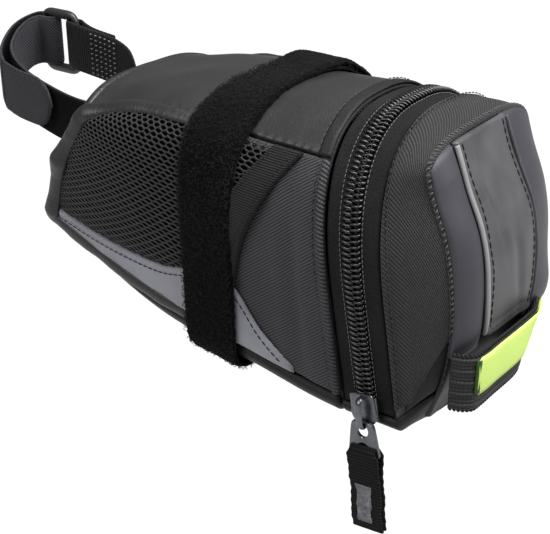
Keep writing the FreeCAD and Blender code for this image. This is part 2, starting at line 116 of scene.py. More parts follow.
def along(knots, values, at):
    """smooth() at many places."""
    at = np.asarray(at, float)
    return np.array([smooth(knots, values, x) for x in at.ravel()]).reshape(at.shape)


def half_outline(v):
    """Half of a section, from the top centre round the arch and side to the bottom centre."""
    a = np.linspace(0, math.pi / 2, 25)
    y = v["half"] * np.sin(a) ** (2 / v["power"])
    z = v["top"] - v["arch"] * (1 - np.cos(a) ** (2 / v["power"]))
    foot, shoulder = v["foot"], v["bottom"] + v["corner"]
    k = np.arange(1, 9) / 8
    y, z = np.append(y, y[-1] + (foot - y[-1]) * k), np.append(z, z[-1] + (shoulder - z[-1]) * k)
    turn = np.arange(1, 7) / 6 * math.pi / 2
    y = np.append(y, foot - v["corner"] * (1 - np.cos(turn)))
    z = np.append(z, shoulder - v["corner"] * np.sin(turn))
    k = np.arange(1, 7) / 6
    return np.append(y, y[-1] * (1 - k)), np.append(z, z[-1] - 1.5 * np.sin(turn))


def section_row(v, shares):
    """Points of a section at shares of its half outline, negative on the left."""
    y, z = half_outline(v)
    length = np.append(0, np.cumsum(np.hypot(np.diff(y), np.diff(z))))
    at = np.abs(shares) * length[-1]
    yy, zz = np.interp(at, length, y), np.interp(at, length, z)
    return np.stack([v["x"] + v["lean"] * (v["top"] - zz), np.copysign(yy, shares), zz], axis=-1)


class Surface:
    """A table of points and outward normals, read anywhere between them."""

    def __init__(self, a, b, points):
        self.a, self.b, self.points = a, b, points
        da = np.gradient(points, axis=0)
        db = np.gradient(points, axis=1)
        n = np.cross(da, db)
        self.normals = n / np.maximum(np.linalg.norm(n, axis=-1, keepdims=True), 1e-9)

    def read(self, table, a, b):
        i = np.clip((a - self.a[0]) / (self.a[1] - self.a[0]), 0, len(self.a) - 1.001)
        j = np.clip((b - self.b[0]) / (self.b[1] - self.b[0]), 0, len(self.b) - 1.001)
        i0, j0 = i.astype(int), j.astype(int)
        u, v = (i - i0)[..., None], (j - j0)[..., None]
        low = table[i0, j0] * (1 - v) + table[i0, j0 + 1] * v
        high = table[i0 + 1, j0] * (1 - v) + table[i0 + 1, j0 + 1] * v
        return low * (1 - u) + high * u

    def normal(self, a, b):
        a, b = np.broadcast_arrays(np.asarray(a, float), np.asarray(b, float))
        n = self.read(self.normals, a, b)
        return n / np.linalg.norm(n, axis=-1, keepdims=True)

    def at(self, a, b, out=0.0):
        """Points out millimetres outside the surface."""
        a, b = np.broadcast_arrays(np.asarray(a, float), np.asarray(b, float))
        return self.read(self.points, a, b) + self.normal(a, b) * np.asarray(out, float)[..., None]


SHARES = np.linspace(-1, 1, 901)


def settled(points):
    """The front of the bag, empty and slack, drops a little at its top corners."""
    x, y, z = points[..., 0], points[..., 1], points[..., 2]
    front = np.exp(-(((x + 62) / 26) ** 2))
    high = np.clip((z + 34) / 24, 0, 1)
    corner = front * np.exp(-((np.abs(y) - 38) / 16) ** 2) * np.exp(-(((z + 12) / 15) ** 2))
    moved = points.copy()
    moved[..., 0] += 4.5 * corner
    moved[..., 1] -= np.sign(y) * 1.2 * corner
    moved[..., 2] -= 2.2 * front * high**2 + 1.6 * corner
    return moved


def body_surface():
    s = np.linspace(0, 1, 161)
    rows = [section_row({k: smooth(STATIONS, v, x) for k, v in SECTION.items()}, SHARES) for x in s]
    return Surface(s, SHARES, settled(np.array(rows)))


def mouth_surface():
    at = np.linspace(-TAPE_WIDTH - 1, TAPE_WIDTH + 1, 41)
    foot = {k: v[-1] for k, v in SECTION.items()}
    return Surface(at, SHARES, np.array([section_row({**foot, "x": ZIP_X + x}, SHARES) for x in at]))


def lid_side_surface():
    t = np.linspace(0, 1, 61)
    edge = section_row({**{k: v[-1] for k, v in SECTION.items()}, "x": ZIP_X + TAPE_WIDTH}, SHARES)
    seam = section_row(LID_SECTION, SHARES)
    seam[:, 0] = along(LID_SEAM_Z, LID_SEAM_X, seam[:, 2])
    rows = []
    for x in t:
        row = edge + (seam - edge) * x
        row[:, 1] += np.copysign(1.5 * math.sin(math.pi * x), SHARES)
        rows.append(row)
    return Surface(t, SHARES, np.array(rows))


def squarish(v, u, half):
    """Height of a face with an arched top and rounded foot corners: v goes up, u from left to right."""
    top = v["top"] - v["arch"] * (1 - (1 - np.abs(u) ** v["power"]) ** (1 / v["power"]))
    bottom = v["bottom"] + v["corner"] * (1 - (1 - np.abs(u) ** 6) ** (1 / 6))
    return bottom + (top - bottom) * (half + 1) / 2


def lid_rear_surface():
    k = np.linspace(-1, 1, 161)
    u, v = np.meshgrid(k, k, indexing="ij")
    z = squarish(LID_SECTION, u, v)
    crown = LID_CROWN * (1 - np.abs(u) ** 2.4) * np.maximum(1 - np.abs(v - 0.22) ** 2.2, 0)
    return Surface(k, k, np.stack([along(LID_SEAM_Z, LID_SEAM_X, z) + crown, u * LID_HALF, z], axis=-1))


def front_surface():
    first = {k: v[0] for k, v in SECTION.items()}
    k = np.linspace(-1, 1, 121)
    v, u = np.meshgrid(k, k, indexing="ij")
    z = squarish(first, u, v)
    x = first["x"] + first["lean"] * (first["top"] - z) - 3.0 * (1 - u * u) * (1 - v * v)
    y = u * (first["foot"] + (first["half"] - first["foot"]) * (v + 1) / 2)
    return Surface(k, k, settled(np.stack([x, y, z], axis=-1)))


BODY, MOUTH, LID_SIDE = body_surface(), mouth_surface(), lid_side_surface()
LID_REAR, FRONT = lid_rear_surface(), front_surface()


def under(g):
    """Share of the half outline along the underside: g from 1 at the left seam to -1 at the right one."""
    g = np.asarray(g, float)
    return np.copysign(BOTTOM_SEAM + (1 - BOTTOM_SEAM) * (1 - np.abs(g)), -g)


def top_seam(s):
    return 0.228 + 0.10 * (1 - s) ** 6


def pocket_mouth(f):
    return along([0.23, 0.34, 0.42, 0.48, 0.57], [0.91, 0.80, 0.735, 0.70, 0.665], np.abs(f))


def hem_top(s):
    return along([0.0, 0.2, 0.4, 0.66, 0.74, 0.85], [0.655, 0.635, 0.605, 0.565, 0.64, 0.695], s)


def station_at(x, f):
    """How far back along the body its outer surface reaches the plane at x."""
    x, f = np.broadcast_arrays(np.asarray(x, float), np.asarray(f, float))
    found = np.empty(x.shape)
    for place in np.ndindex(x.shape):
        j = (f[place] + 1) / 2 * (len(SHARES) - 1)
        column = BODY.points[:, int(round(j)), 0]
        found[place] = np.interp(x[place], column, BODY.a)
    return found


# ---------------------------------------------------------------- meshes

def new_object(name, points, faces, uv, material):
    """A smooth-shaded object from points in millimetres; its UV map holds cloth coordinates, in millimetres."""
    mesh = bpy.data.meshes.new(name)
    mesh.from_pydata((np.asarray(points, float).reshape(-1, 3) * MM).tolist(), [], faces)
    mesh.polygons.foreach_set("use_smooth", [True] * len(mesh.polygons))
    if uv is not None:
        layer = mesh.uv_layers.new(name="cloth")
        corner = np.empty(len(mesh.loops), int)
        mesh.loops.foreach_get("vertex_index", corner)
        layer.data.foreach_set("uv", np.asarray(uv, float).reshape(-1, 2)[corner].ravel())
    mesh.validate()
    mesh.materials.append(material)
    made = bpy.data.objects.new(name, mesh)
    bpy.context.scene.collection.objects.link(made)
    return made


def grid_faces(n, m, start=0, flip=False):
    faces = []
    for i in range(n - 1):
        for j in range(m - 1):
            a = start + i * m + j
            quad = (a, a + m, a + m + 1, a + 1)
            faces.append(quad[::-1] if flip else quad)
    return faces


def tube(rings, sides, first=0, closed=False):
    """Faces that join rings of points, numbered from first: a closed loop, or a tube with capped ends."""
    faces = []
    for i in range(rings if closed else rings - 1):
        a, b = first + i * sides, first + (i + 1) % rings * sides
        faces += [(a + j, a + (j + 1) % sides, b + (j + 1) % sides, b + j) for j in range(sides)]
    if not closed:
        last = first + (rings - 1) * sides
        faces += [tuple(range(first, first + sides))[::-1], tuple(range(last, last + sides))]
    return faces


def spread(points):
    """Cloth coordinates of a grid of points: the distance along each of its ways."""
    u = np.linalg.norm(np.diff(points, axis=0), axis=-1)
    v = np.linalg.norm(np.diff(points, axis=1), axis=-1)
    u = np.concatenate([np.zeros((1, points.shape[1])), np.cumsum(u, axis=0)])
    v = np.concatenate([np.zeros((points.shape[0], 1)), np.cumsum(v, axis=1)], axis=1)
    return u - u[len(u) // 2], v - v[:, v.shape[1] // 2][:, None], u, v


def slab(name, upper, lower, material):
    """The closed mesh between two grids of points, upper being the outer one."""
    n, m = upper.shape[:2]
    i, j = n // 2, m // 2
    turn = np.cross(upper[i, j] - upper[i - 1, j], upper[i, j] - upper[i, j - 1])
    if turn @ (upper[i, j] - lower[i, j]) < 0:
        upper, lower = upper[:, ::-1], lower[:, ::-1]
    faces = grid_faces(n, m) + grid_faces(n, m, n * m, flip=True)
    rim = [i * m for i in range(n)] + [(n - 1) * m + j for j in range(1, m)]
    rim += [i * m + m - 1 for i in range(n - 2, -1, -1)] + [j for j in range(m - 2, 0, -1)]
    for a, b in zip(rim, rim[1:] + rim[:1]):
        faces.append((a, n * m + a, n * m + b, b))
    u, v, _, _ = spread(upper)
    flat = np.stack([u, v], axis=-1).reshape(-1, 2)
    return new_object(
        name, np.concatenate([upper.reshape(-1, 3), lower.reshape(-1, 3)]), faces,
        np.concatenate([flat, flat]), material
    )


def cloth(name, surface, a, b, low, high, material, roll=1.2, bulge=None):
    """A piece of cloth on a surface, its edges rolled down from high to low over roll millimetres."""
    a, b = np.broadcast_arrays(np.asarray(a, float), np.asarray(b, float))
    high = np.broadcast_to(np.asarray(high, float), a.shape)
    if bulge is not None:
        high = high + bulge
    points = surface.at(a, b, high)
    _, _, u, v = spread(points)
    edge = np.minimum(np.minimum(u, u[-1] - u), np.minimum(v, v[:, -1:] - v))
    t = np.clip(edge / roll, 0, 1)
    lift = low + (high - low) * (0.25 + 0.75 * np.sqrt(1 - (1 - t) ** 2))
    return slab(name, surface.at(a, b, lift), surface.at(a, b, np.minimum(low, lift - 0.1)), material)


def lattice(a_low, a_high, n, b_low, b_high, m):
    return np.meshgrid(np.linspace(a_low, a_high, n), np.linspace(b_low, b_high, m), indexing="ij")


def ripple(points, size, strength, seed=0.0):
    """Smooth noise at each point, in millimetres."""
    flat = points.reshape(-1, 3) / size + seed
    value = [noise.noise(Vector(p)) for p in flat]
    return strength * np.array(value).reshape(points.shape[:-1])


def unit(v):
    return v / np.maximum(np.linalg.norm(v, axis=-1, keepdims=True), 1e-9)


def sweep(name, path, wide, deep, profile, material, closed=False):
    """A closed outline of (across, out) points carried along a path: wide and deep are its two directions."""
    path = np.asarray(path, float)
    profile = np.asarray(profile, float)
    if profile.ndim == 2:
        profile = np.broadcast_to(profile, (len(path),) + profile.shape)
    n, m = profile.shape[:2]
    points = path[:, None] + wide[:, None] * profile[..., :1] + deep[:, None] * profile[..., 1:]
    far = travelled(path)
    round_ = np.linalg.norm(np.diff(profile[0], axis=0), axis=-1)
    uv = np.stack(np.meshgrid(far, np.append(0, np.cumsum(round_)), indexing="ij"), axis=-1)
    return new_object(name, points, tube(n, m, closed=closed), uv, material)


def oval(across, out, sides=12):
    a = np.linspace(0, 2 * math.pi, sides, endpoint=False)
    return np.stack([across * np.cos(a), out * np.sin(a)], axis=-1)


def flat_profile(width, thick, count=15, edge=3):
    """A strap's outline with round edges: (across, out)."""
    half, r = width / 2, thick / 2
    across = np.linspace(-half + r, half - r, count)
    turn = np.linspace(-math.pi / 2, math.pi / 2, edge + 2)[1:-1]
    upper = [(x, r) for x in across[::-1]]
    left = [(-half + r - r * math.cos(t), -r * math.sin(t)) for t in turn]
    lower = [(x, -r) for x in across]
    right = [(half - r + r * math.cos(t), r * math.sin(t)) for t in turn]
    return np.array(upper + left + lower + right)


def even(route, spacing):
    """The same route as a smooth line with evenly spaced points."""
    route = [list(p) for p in route]
    at = [0.0]
    for p, q in zip(route, route[1:]):
        at.append(at[-1] + math.dist(p, q))
    t = np.linspace(0, at[-1], max(round(at[-1] / spacing), 2) + 1)
    return np.stack([along(at, [p[k] for p in route], t) for k in range(3)], axis=-1)


def travelled(path):
    """The length along a path from its start to each of its points."""
    return np.append(0, np.cumsum(np.linalg.norm(np.diff(path, axis=0), axis=-1)))


def resample(line, spacing):
    """Evenly spaced points on a line of many points."""
    line = np.asarray(line, float)
    at = travelled(line)
    t = np.linspace(0, at[-1], max(round(at[-1] / spacing), 2) + 1)
    return np.stack([np.interp(t, at, line[:, k]) for k in range(line.shape[1])], axis=-1)


def beads(name, pairs, shape, radius, material, sides=6):
    """Short closed threads, one for each (start, end, up). shape gives (share of length, thickness, rise)."""
    points, faces = [], []
    turns = [2 * math.pi * j / sides for j in range(sides)]
    for start, end, up in pairs:
        across = unit(np.cross(end - start, up))
        faces += tube(len(shape), sides, len(points))
        for share, thick, rise in shape:
            centre = start + (end - start) * share + up * radius * rise
            points += [centre + (across * math.cos(a) + up * math.sin(a)) * radius * thick for a in turns]
    return new_object(name, points, faces, None, material)


DIPPED = ((0, 0.35, -0.5), (0.12, 0.9, 0.2), (0.5, 1, 0.7), (0.88, 0.9, 0.2), (1, 0.35, -0.5))
RAISED = ((0, 0.3, -0.1), (0.15, 0.9, 0.5), (0.5, 1, 0.9), (0.85, 0.9, 0.5), (1, 0.3, -0.1))


def threads(name, pairs, radius, material):
    """Separate short threads, each a bead from one point to the other."""
    return beads(name, pairs, RAISED, radius, material)


def stitches(name, line, normals, material, pitch=2.6, share=0.68, radius=0.2, sink=0.0):
    """A row of stitches along a line: each fills a share of its pitch and dips at both ends."""
    both = resample(np.concatenate([line, normals], axis=-1), pitch)
    pairs = []
    for p, q in zip(both, both[1:]):
        ahead, up = q[:3] - p[:3], unit(p[3:])
        middle = p[:3] + ahead / 2 - up * sink
        pairs.append((middle - ahead * share / 2, middle + ahead * share / 2, up))
    return beads(name, pairs, DIPPED, radius, material)


def crosswise(path, up):
    """The direction across a path that lies on a surface."""
    return unit(np.cross(np.gradient(path, axis=0), up))


def applied(obj):
    """The object with its modifiers turned into mesh."""
    graph = bpy.context.evaluated_depsgraph_get()
    mesh = bpy.data.meshes.new_from_object(
        obj.evaluated_get(graph), preserve_all_data_layers=True, depsgraph=graph
    )
    obj.modifiers.clear()
    obj.data = mesh
    return obj


def show(obj, body, slot, *nodes):
    """The piece rides on a body and stands for the CAD nodes it replaces; slot is not used."""
    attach(obj, body)
    if nodes:
        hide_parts(*nodes)
    return obj


# ---------------------------------------------------------------- finishes

def add(tree, kind, sets=None, **inputs):
    """A node with its settings and inputs; an input that is a socket is linked."""
    node = tree.nodes.new(kind)
    for key, value in (sets or {}).items():
        setattr(node, key, value)
    for key, value in inputs.items():
        numbered = key[0] == "i" and key[1:].isdigit()
        socket = node.inputs[int(key[1:])] if numbered else node.inputs[key.replace("_", " ")]
        if isinstance(value, bpy.types.NodeSocket):
            tree.links.new(value, socket)
        else:
            socket.default_value = value
    return node


def maths(tree, operation, a, b=0.0):
    """The output of a maths node; a and b are sockets or numbers."""
    return add(tree, "ShaderNodeMath", {"operation": operation}, i0=a, i1=b).outputs[0]


def fabric(
    name, dark, light, weave="plain", pitch=0.8, turn=0.0, rough=(
        0.6, 0.85
    ), bump=0.25, fuzz=0.35, blotch=0.35,
    specular=0.25, sheen=0.0, metallic=0.0, spots=26.0, placed="cloth",
):
    """A procedural finish: two shades mixed by the weave, a fine fuzz and broad uneven patches.

    pitch and spots are millimetres, and turn is the weave's direction in degrees. The weave follows the cloth
    coordinates, or for placed="object" the object's own.
    """
    made = bpy.data.materials.new(name)
    made.use_nodes = True
    tree = made.node_tree
    tree.nodes.clear()
    space = add(tree, "ShaderNodeTexCoord").outputs["Object"]
    metric = add(tree, "ShaderNodeMapping", None, Vector=space, Scale=(1000, 1000, 1000)).outputs[0]
    flat = add(tree, "ShaderNodeUVMap", {"uv_map": "cloth"}).outputs[0] if placed == "cloth" else metric
    turned = add(tree, "ShaderNodeMapping", None, Vector=flat, Rotation=(0, 0, math.radians(turn))).outputs[0]
    broad = add(
        tree, "ShaderNodeTexNoise", None, Vector=metric, Scale=1 / spots, Detail=3.0, Roughness=0.55
    ).outputs[0]
    fine = add(
        tree, "ShaderNodeTexNoise", None, Vector=flat, Scale=1.1 / pitch, Detail=3.0, Roughness=0.7
    ).outputs[0]

    def times(a, b):
        return maths(tree, "MULTIPLY", a, b)

    def plus(a, b):
        return maths(tree, "ADD", a, b)

    def less(a, b):
        return maths(tree, "SUBTRACT", a, b)

    def wave(direction, size, bend):
        sets = {"wave_type": "BANDS", "bands_direction": direction, "wave_profile": "SIN"}
        inputs = {"Vector": turned, "Scale": 0.314 / size, "Distortion": bend, "Detail": 1.0, "i4": 3.0}
        return add(tree, "ShaderNodeTexWave", sets, **inputs).outputs["Fac"]

    def cells(feature, **inputs):
        made = add(tree, "ShaderNodeTexVoronoi", {"feature": feature}, Vector=flat, Scale=1 / pitch, **inputs)
        return made.outputs["Distance"]

    if weave == "twill":
        ribs, weft = wave("X", pitch, 0.5), wave("Y", pitch * 0.62, 0.9)
        pattern = plus(times(ribs, 0.74), times(weft, 0.26))
    elif weave == "rib":
        ribs, weft = wave("X", pitch, 0.3), wave("Y", pitch * 0.8, 0.5)
        pattern = plus(times(ribs, 0.6), times(times(ribs, weft), 0.4))
    elif weave == "plain":
        across, down = wave("X", pitch, 0.3), wave("Y", pitch, 0.3)
        pattern = maths(tree, "MAXIMUM", times(across, down), times(less(1.0, across), less(1.0, down)))
    elif weave == "grain":
        pattern = less(1.0, cells("SMOOTH_F1", Smoothness=0.6))
    elif weave == "pile":
        pattern = times(less(1.0, cells("F1", Randomness=1.0)), fine)
    else:
        pattern = fine
    mixed = plus(times(pattern, 1 - fuzz), times(fine, fuzz))
    amount = plus(mixed, times(less(broad, 0.5), blotch * 2))
    amount.node.use_clamp = True
    colour = add(
        tree, "ShaderNodeMix", {"data_type": "RGBA"}, i0=amount, i6=(*dark, 1), i7=(*light, 1)
    ).outputs[2]
    uneven = plus(times(broad, 0.7), times(fine, 0.3))
    shine = add(
        tree, "ShaderNodeMapRange", None, Value=uneven, i1=0.3, i2=0.7, i3=rough[0], i4=rough[1]
    ).outputs[0]
    lift = add(
        tree, "ShaderNodeBump", None, Strength=min(bump * 2.2, 1.0), Distance=pitch * MM * 0.5,
        Height=mixed
    ).outputs[0]
    shader = add(
        tree, "ShaderNodeBsdfPrincipled", None, Base_Color=colour, Roughness=shine, Normal=lift,
        Metallic=metallic
    )
    shader.inputs["Specular IOR Level"].default_value = specular
    shader.inputs["Sheen Weight"].default_value = sheen
    shader.inputs["Sheen Roughness"].default_value = 0.5
    out = add(tree, "ShaderNodeOutputMaterial")
    tree.links.new(shader.outputs[0], out.inputs[0])
    return made


def grey(dark, light=None, blue=1.04):
    """Two linear shades of a slightly cool grey."""
    return [(x, x, x * blue) for x in (dark, light if light is not None else dark)]


DULL = dict(weave="grain", pitch=0.6, rough=(0.45, 0.65), bump=0.14, blotch=0.5, specular=0.2)
RIBBED = dict(weave="twill", rough=(0.7, 0.9), bump=0.5, fuzz=0.22, specular=0.12)
THREAD = dict(weave="fine", pitch=0.3, rough=(0.5, 0.7))
BOARD = dict(weave="grain", pitch=0.8, rough=(0.6, 0.8))
METAL = dict(
    dark=(
        0.06, 0.062, 0.07
    ), light=(0.16, 0.165, 0.18), weave="fine", pitch=0.6, rough=(0.2, 0.36), bump=0.05,
    blotch=0.6, specular=0.5, metallic=0.9, spots=3.0,
)

COATED = fabric(
    "coated_cloth", *grey(0.008, 0.018), weave="grain", pitch=0.55, rough=(0.36, 0.55), bump=0.12,
    fuzz=0.3, blotch=0.5, specular=0.36, spots=22
)
COATED_ROLL = fabric(
    "coated_cloth_roll", *grey(0.006, 0.014), weave="grain", pitch=0.8, rough=(0.40, 0.52),
    bump=0.22, blotch=0.4, specular=0.40
)
COATED_DULL = fabric("coated_cloth_dull", *grey(0.005, 0.012), **DULL)
COATED_DARK = fabric("coated_cloth_dark", *grey(0.004, 0.012), **DULL)
TWILL = fabric(
    "ribbed_twill", *grey(0.006, 0.074, 1.1), **RIBBED, pitch=0.86, turn=50, blotch=0.2, sheen=0.04
)
PIPING = fabric("twill_piping", *grey(0.006, 0.075, 1.08), **RIBBED, pitch=1.15, turn=20)
TWILL_LID = fabric(
    "ribbed_twill_lid", *grey(0.004, 0.052), **RIBBED, pitch=0.9, turn=-38, blotch=0.2, sheen=0.04
)
NET = fabric(
    "pocket_mesh", *grey(0.005, 0.028), weave="fine", pitch=0.3, rough=(0.5, 0.75), bump=0.3,
    specular=0.3, sheen=0.03
)
UNDERLAY = fabric(
    "pocket_underlay", *grey(0.0015, 0.004), weave="plain", pitch=0.5, rough=(0.9, 1.0),
    specular=0.02
)
BINDING_TAPE = fabric(
    "binding_tape", *grey(0.0015, 0.036), weave="rib", pitch=0.85, turn=90, rough=(0.65, 0.85),
    bump=0.5, specular=0.12
)
REFLECTIVE = fabric(
    "reflective_cloth", *grey(0.10, 0.24, 1.15), weave="plain", pitch=0.30, rough=(0.36, 0.54),
    bump=0.08, fuzz=0.5, blotch=0.6, specular=0.4, spots=16
)
LID_CLOTH = fabric(
    "lid_cloth", *grey(0.022, 0.038, 1.25), weave="plain", pitch=0.32, rough=(0.42, 0.6), bump=0.07,
    fuzz=0.4, blotch=0.4, specular=0.35, spots=18
)
LID_CENTRE = fabric(
    "lid_centre_cloth", *grey(0.024, 0.082, 1.08), weave="plain", pitch=0.5, rough=(0.38, 0.54),
    bump=0.07, fuzz=0.4, blotch=0.7, specular=0.4, spots=15
)
# The centre strip's cloth made much lighter for its left fold: a painted highlight along the fold's crest.
LID_FOLD_PAINTED_HIGHLIGHT = fabric(
    "lid_fold", *grey(0.16, 0.25, 1.02), weave="plain", pitch=0.3, rough=(0.32, 0.5), bump=0.08,
    fuzz=0.4, specular=0.5
)
LINING_CLOTH = fabric(
    "lining_cloth", *grey(0.05, 0.11), weave="plain", pitch=0.4, rough=(0.6, 0.8), bump=0.2,
    specular=0.2
)
ZIP_TAPE = fabric(
    "zip_tape", *grey(0.002, 0.026), weave="pile", pitch=0.6, turn=20, rough=(0.7, 0.9), bump=0.45,
    fuzz=0.5, specular=0.08
)
NYLON = fabric(
    "zip_coil", *grey(0.0035, 0.008), weave="fine", pitch=0.5, rough=(0.16, 0.3), bump=0.04,
    specular=0.55
)
PILE = fabric(
    "loop_strap", *grey(0.0012, 0.007), weave="pile", pitch=0.6, rough=(0.95, 1.0), bump=0.5,
    fuzz=0.6, blotch=0.15, specular=0.0, sheen=0.03
)
PILE_CURL = fabric(
    "loop_curl", *grey(0.003, 0.022), weave="fine", pitch=2.0, rough=(0.7, 0.9), bump=0.05,
    specular=0.15, placed="object"
)
WOVEN = fabric(
    "woven_strap", *grey(0.005, 0.052, 1.15), weave="twill", pitch=0.8, turn=40, rough=(0.7, 0.9),
    bump=0.5, specular=0.1, sheen=0.03
)
HOOK_SIDE = fabric(
    "strap_inside", *grey(0.002, 0.012), weave="pile", pitch=0.6, rough=(0.85, 1.0), bump=0.5,
    specular=0.04
)
WEBBING_CLOTH = fabric(
    "webbing", *grey(0.003, 0.022, 1.12), weave="rib", pitch=0.9, turn=0, rough=(0.6, 0.8),
    bump=0.45, specular=0.15
)
LOOP_CLOTH = fabric(
    "loop_webbing", *grey(0.003, 0.034, 1.1), weave="rib", pitch=1.25, turn=90, rough=(0.5, 0.7),
    bump=0.6, fuzz=0.25, specular=0.25
)
THREAD_DARK = fabric("thread_dark", *grey(0.0025, 0.006), **THREAD, specular=0.15)
THREAD_GREY = fabric("thread_grey", *grey(0.018, 0.045), **THREAD, specular=0.25)
SEAM_THREAD = fabric("seam_thread", *grey(0.03, 0.085), weave="fine", pitch=0.3, specular=0.25)
THREAD_LIGHT = fabric("thread_light", *grey(0.07, 0.15), **THREAD, specular=0.3)
MOULDED = fabric(
    "ring_plastic", *grey(0.008, 0.016, 1.08), weave="fine", pitch=0.6, rough=(0.3, 0.45),
    bump=0.05, specular=0.5
)
BOARD_FINISH = fabric("stiffener_board", *grey(0.06, 0.11), **BOARD, placed="object")
BOARD_CLOTH = fabric("stiffener_board_top", *grey(0.06, 0.11), **BOARD)
GUNMETAL = fabric("slider_metal", **METAL)
GUNMETAL_CAD = fabric("slider_metal_plain", **METAL, placed="object")
RIBBON = fabric(
    "pull_webbing", *grey(0.002, 0.016), weave="rib", pitch=1.1, turn=0, rough=(0.7, 0.9), bump=0.6,
    fuzz=0.4, specular=0.08
)
PATCH = fabric(
    "grey_patch", *grey(0.02, 0.20, 1.12), weave="grain", pitch=0.5, rough=(0.5, 0.7), bump=0.3,
    fuzz=0.6, blotch=0.9, specular=0.2, spots=2.2
)
LABEL_CLOTH = fabric(
    "bright_label", (0.40, 0.55, 0.10), (0.56, 0.74, 0.18), weave="plain", pitch=0.35,
    rough=(0.45, 0.6), bump=0.12, fuzz=0.35, blotch=0.25, specular=0.3
)
# A dark copy of the label's green for its folded end: painted shade in the fold.
LABEL_FOLD_PAINTED_SHADE = fabric(
    "label_fold_painted_shade", (0.015, 0.04, 0.004), (0.05, 0.11, 0.012), weave="plain", pitch=0.35,
    rough=(0.55, 0.7), bump=0.12, specular=0.2
)


# ---------------------------------------------------------------- body of the bag

def seam_line(surface, a, b, out):
    """Points and normals along a line on a surface."""
    return surface.at(a, b, out), surface.normal(a, b)


SIDES = {"left": -1, "right": 1}
# The body's length in millimetres, and how much more a share round it spans than a share along it.
BODY_LONG, GIRTH = BODY_REAR_X - FRONT_X, 1.25
NET_LONG, NET_HIGH, NET_ACROSS, NET_DOWN = 96, 84, 2.95, 1.75

# Top cloth, with the wrinkles of a coated cloth pulled down at its front corners.
S, K = lattice(0.004, 0.993, 130, -1, 1, 90)
F = (top_seam(S) + 0.034 * np.clip((0.34 - S) / 0.22, 0, 1)) * K
flat = BODY.at(S, F)
pulled = 0.9 * np.exp(-((S - 0.10) / 0.10) ** 2) * np.exp(-((np.abs(K) - 0.80) / 0.22) ** 2)
crumple = ripple(flat, 17.0, 0.8, 3.1) * np.exp(-(S / 0.42) ** 2) + ripple(flat, 34.0, 0.55, 8.0)
pucker = 0.22 * np.sin(S * 190 + 2 * ripple(flat, 6.0, 1.0)) * np.clip((np.abs(K) - 0.93) / 0.05, 0, 1)
top_cloth = cloth(
    "top_cloth", BODY, S, F, -1.2, 0.0, COATED, 1.0,
    bulge=np.maximum(crumple - pulled, -0.9) + pucker
)
show(top_cloth, "bag", "coated_cloth", "top_panel")

S, K = lattice(0.951, 0.995, 14, -1, 1, 130)
top_band = cloth(
    "top_band", BODY, S, top_seam(S) * K, 0.0, 0.75, COATED_DULL, 1.1,
    bulge=ripple(BODY.at(S, top_seam(S) * K), 5.0, 0.25, 4.0)
)
show(top_band, "bag", "coated_cloth")

S, F = lattice(0.06, 0.93, 50, -0.20, 0.20, 30)
top_board = cloth("top_board", BODY, S, F, -2.4, -1.9, BOARD_CLOTH, 0.6)
show(top_board, "bag", "stiffener_board", "top_stiffener")

F = np.linspace(-0.36, 0.36, 120)
path, up = seam_line(BODY, 0.010, F, -0.7)
wide = crosswise(path, up)
lump = ripple(path, 8.0, 0.5, 4.0)
rolls = np.array([oval(1.7 + 0.3 * q, 1.2 + 0.3 * q, 14) for q in lump])
show(sweep("front_top_roll", path, wide, up, rolls, COATED_ROLL), "bag", "coated_cloth")

V, U = lattice(-0.99, 0.99, 60, -0.99, 0.99, 70)
front_points = FRONT.at(V, U)
front_cloth = cloth(
    "front_cloth", FRONT, V, U, 0.0, 1.2, COATED_DULL, 2.0,
    bulge=ripple(front_points, 15.0, 0.9, 5.0) - 0.3
)
show(front_cloth, "bag", "coated_cloth", "front_panel")

S, G = lattice(0.004, 0.987, 90, -0.99, 0.99, 60)
bottom_cloth = cloth(
    "bottom_cloth", BODY, S, under(G), -1.2, 0.0, COATED_DULL, 1.0,
    bulge=ripple(BODY.at(S, under(G)), 26.0, 0.7, 1.0)
)
show(bottom_cloth, "bag", "coated_cloth", "bottom_panel")


def pocket_lift(s, f):
    """How far the pocket's net stands off the side panel."""
    back = np.clip((s - 0.03) / 0.50, 0, 1)
    down = np.clip((np.abs(f) - 0.25) / 0.40, 0, 1)
    return 0.5 + 2.4 * np.sin(math.pi * back) * np.sin(math.pi * down)


def mouth_bulge(f):
    """How far the binding swells off the side along the pocket's mouth."""
    return 0.9 * np.sin(math.pi * np.clip((f - 0.24) / 0.34, 0, 1))


def hexagons(width, height, across, down):
    """A net of joined hexagons over a rectangle: its points in millimetres and its edges."""
    index, points, edges = {}, [], set()

    def vertex(x, y):
        key = (round(x * 8), round(y * 8))
        if key not in index:
            index[key] = len(points)
            points.append((x, y))
        return index[key]

    rows, columns = int(height / down) + 1, int(width / across) + 1
    for j in range(rows):
        for i in range(columns):
            x, y = (i + 0.5 * (j % 2)) * across, j * down
            third = down / 3
            ring = [
                (0, -2 * third), (0.5, -third), (0.5, third), (0, 2 * third), (-0.5, third),
                (-0.5, -third)
            ]
            found = [vertex(x + p * across, y + q) for p, q in ring]
            edges |= {tuple(sorted(e)) for e in zip(found, found[1:] + found[:1])}
    return np.array(points), sorted(edges)


def knotted(name, points, normals, edges, radius, material, flat_by=0.75):
    """A thread of four sides along every edge, thicker at the knots, as one mesh of closed strands."""
    made, faces = [], []
    for i, j in edges:
        p, q = points[i], points[j]
        ahead = q - p
        if np.linalg.norm(ahead) < 1e-6:
            continue
        up = unit(normals[i] + normals[j])
        across = unit(np.cross(ahead, up))
        ahead = unit(ahead)
        faces += tube(3, 4, len(made))
        for end, centre in enumerate((p - ahead * radius * 0.5, (p + q) / 2, q + ahead * radius * 0.5)):
            r = radius * (0.8 if end == 1 else 1.12)
            for a in (0.25, 0.75, 1.25, 1.75):
                turn = a * math.pi
                made.append(centre + across * math.cos(turn) * r + up * math.sin(turn) * r * flat_by)
    return new_object(name, made, faces, None, material)


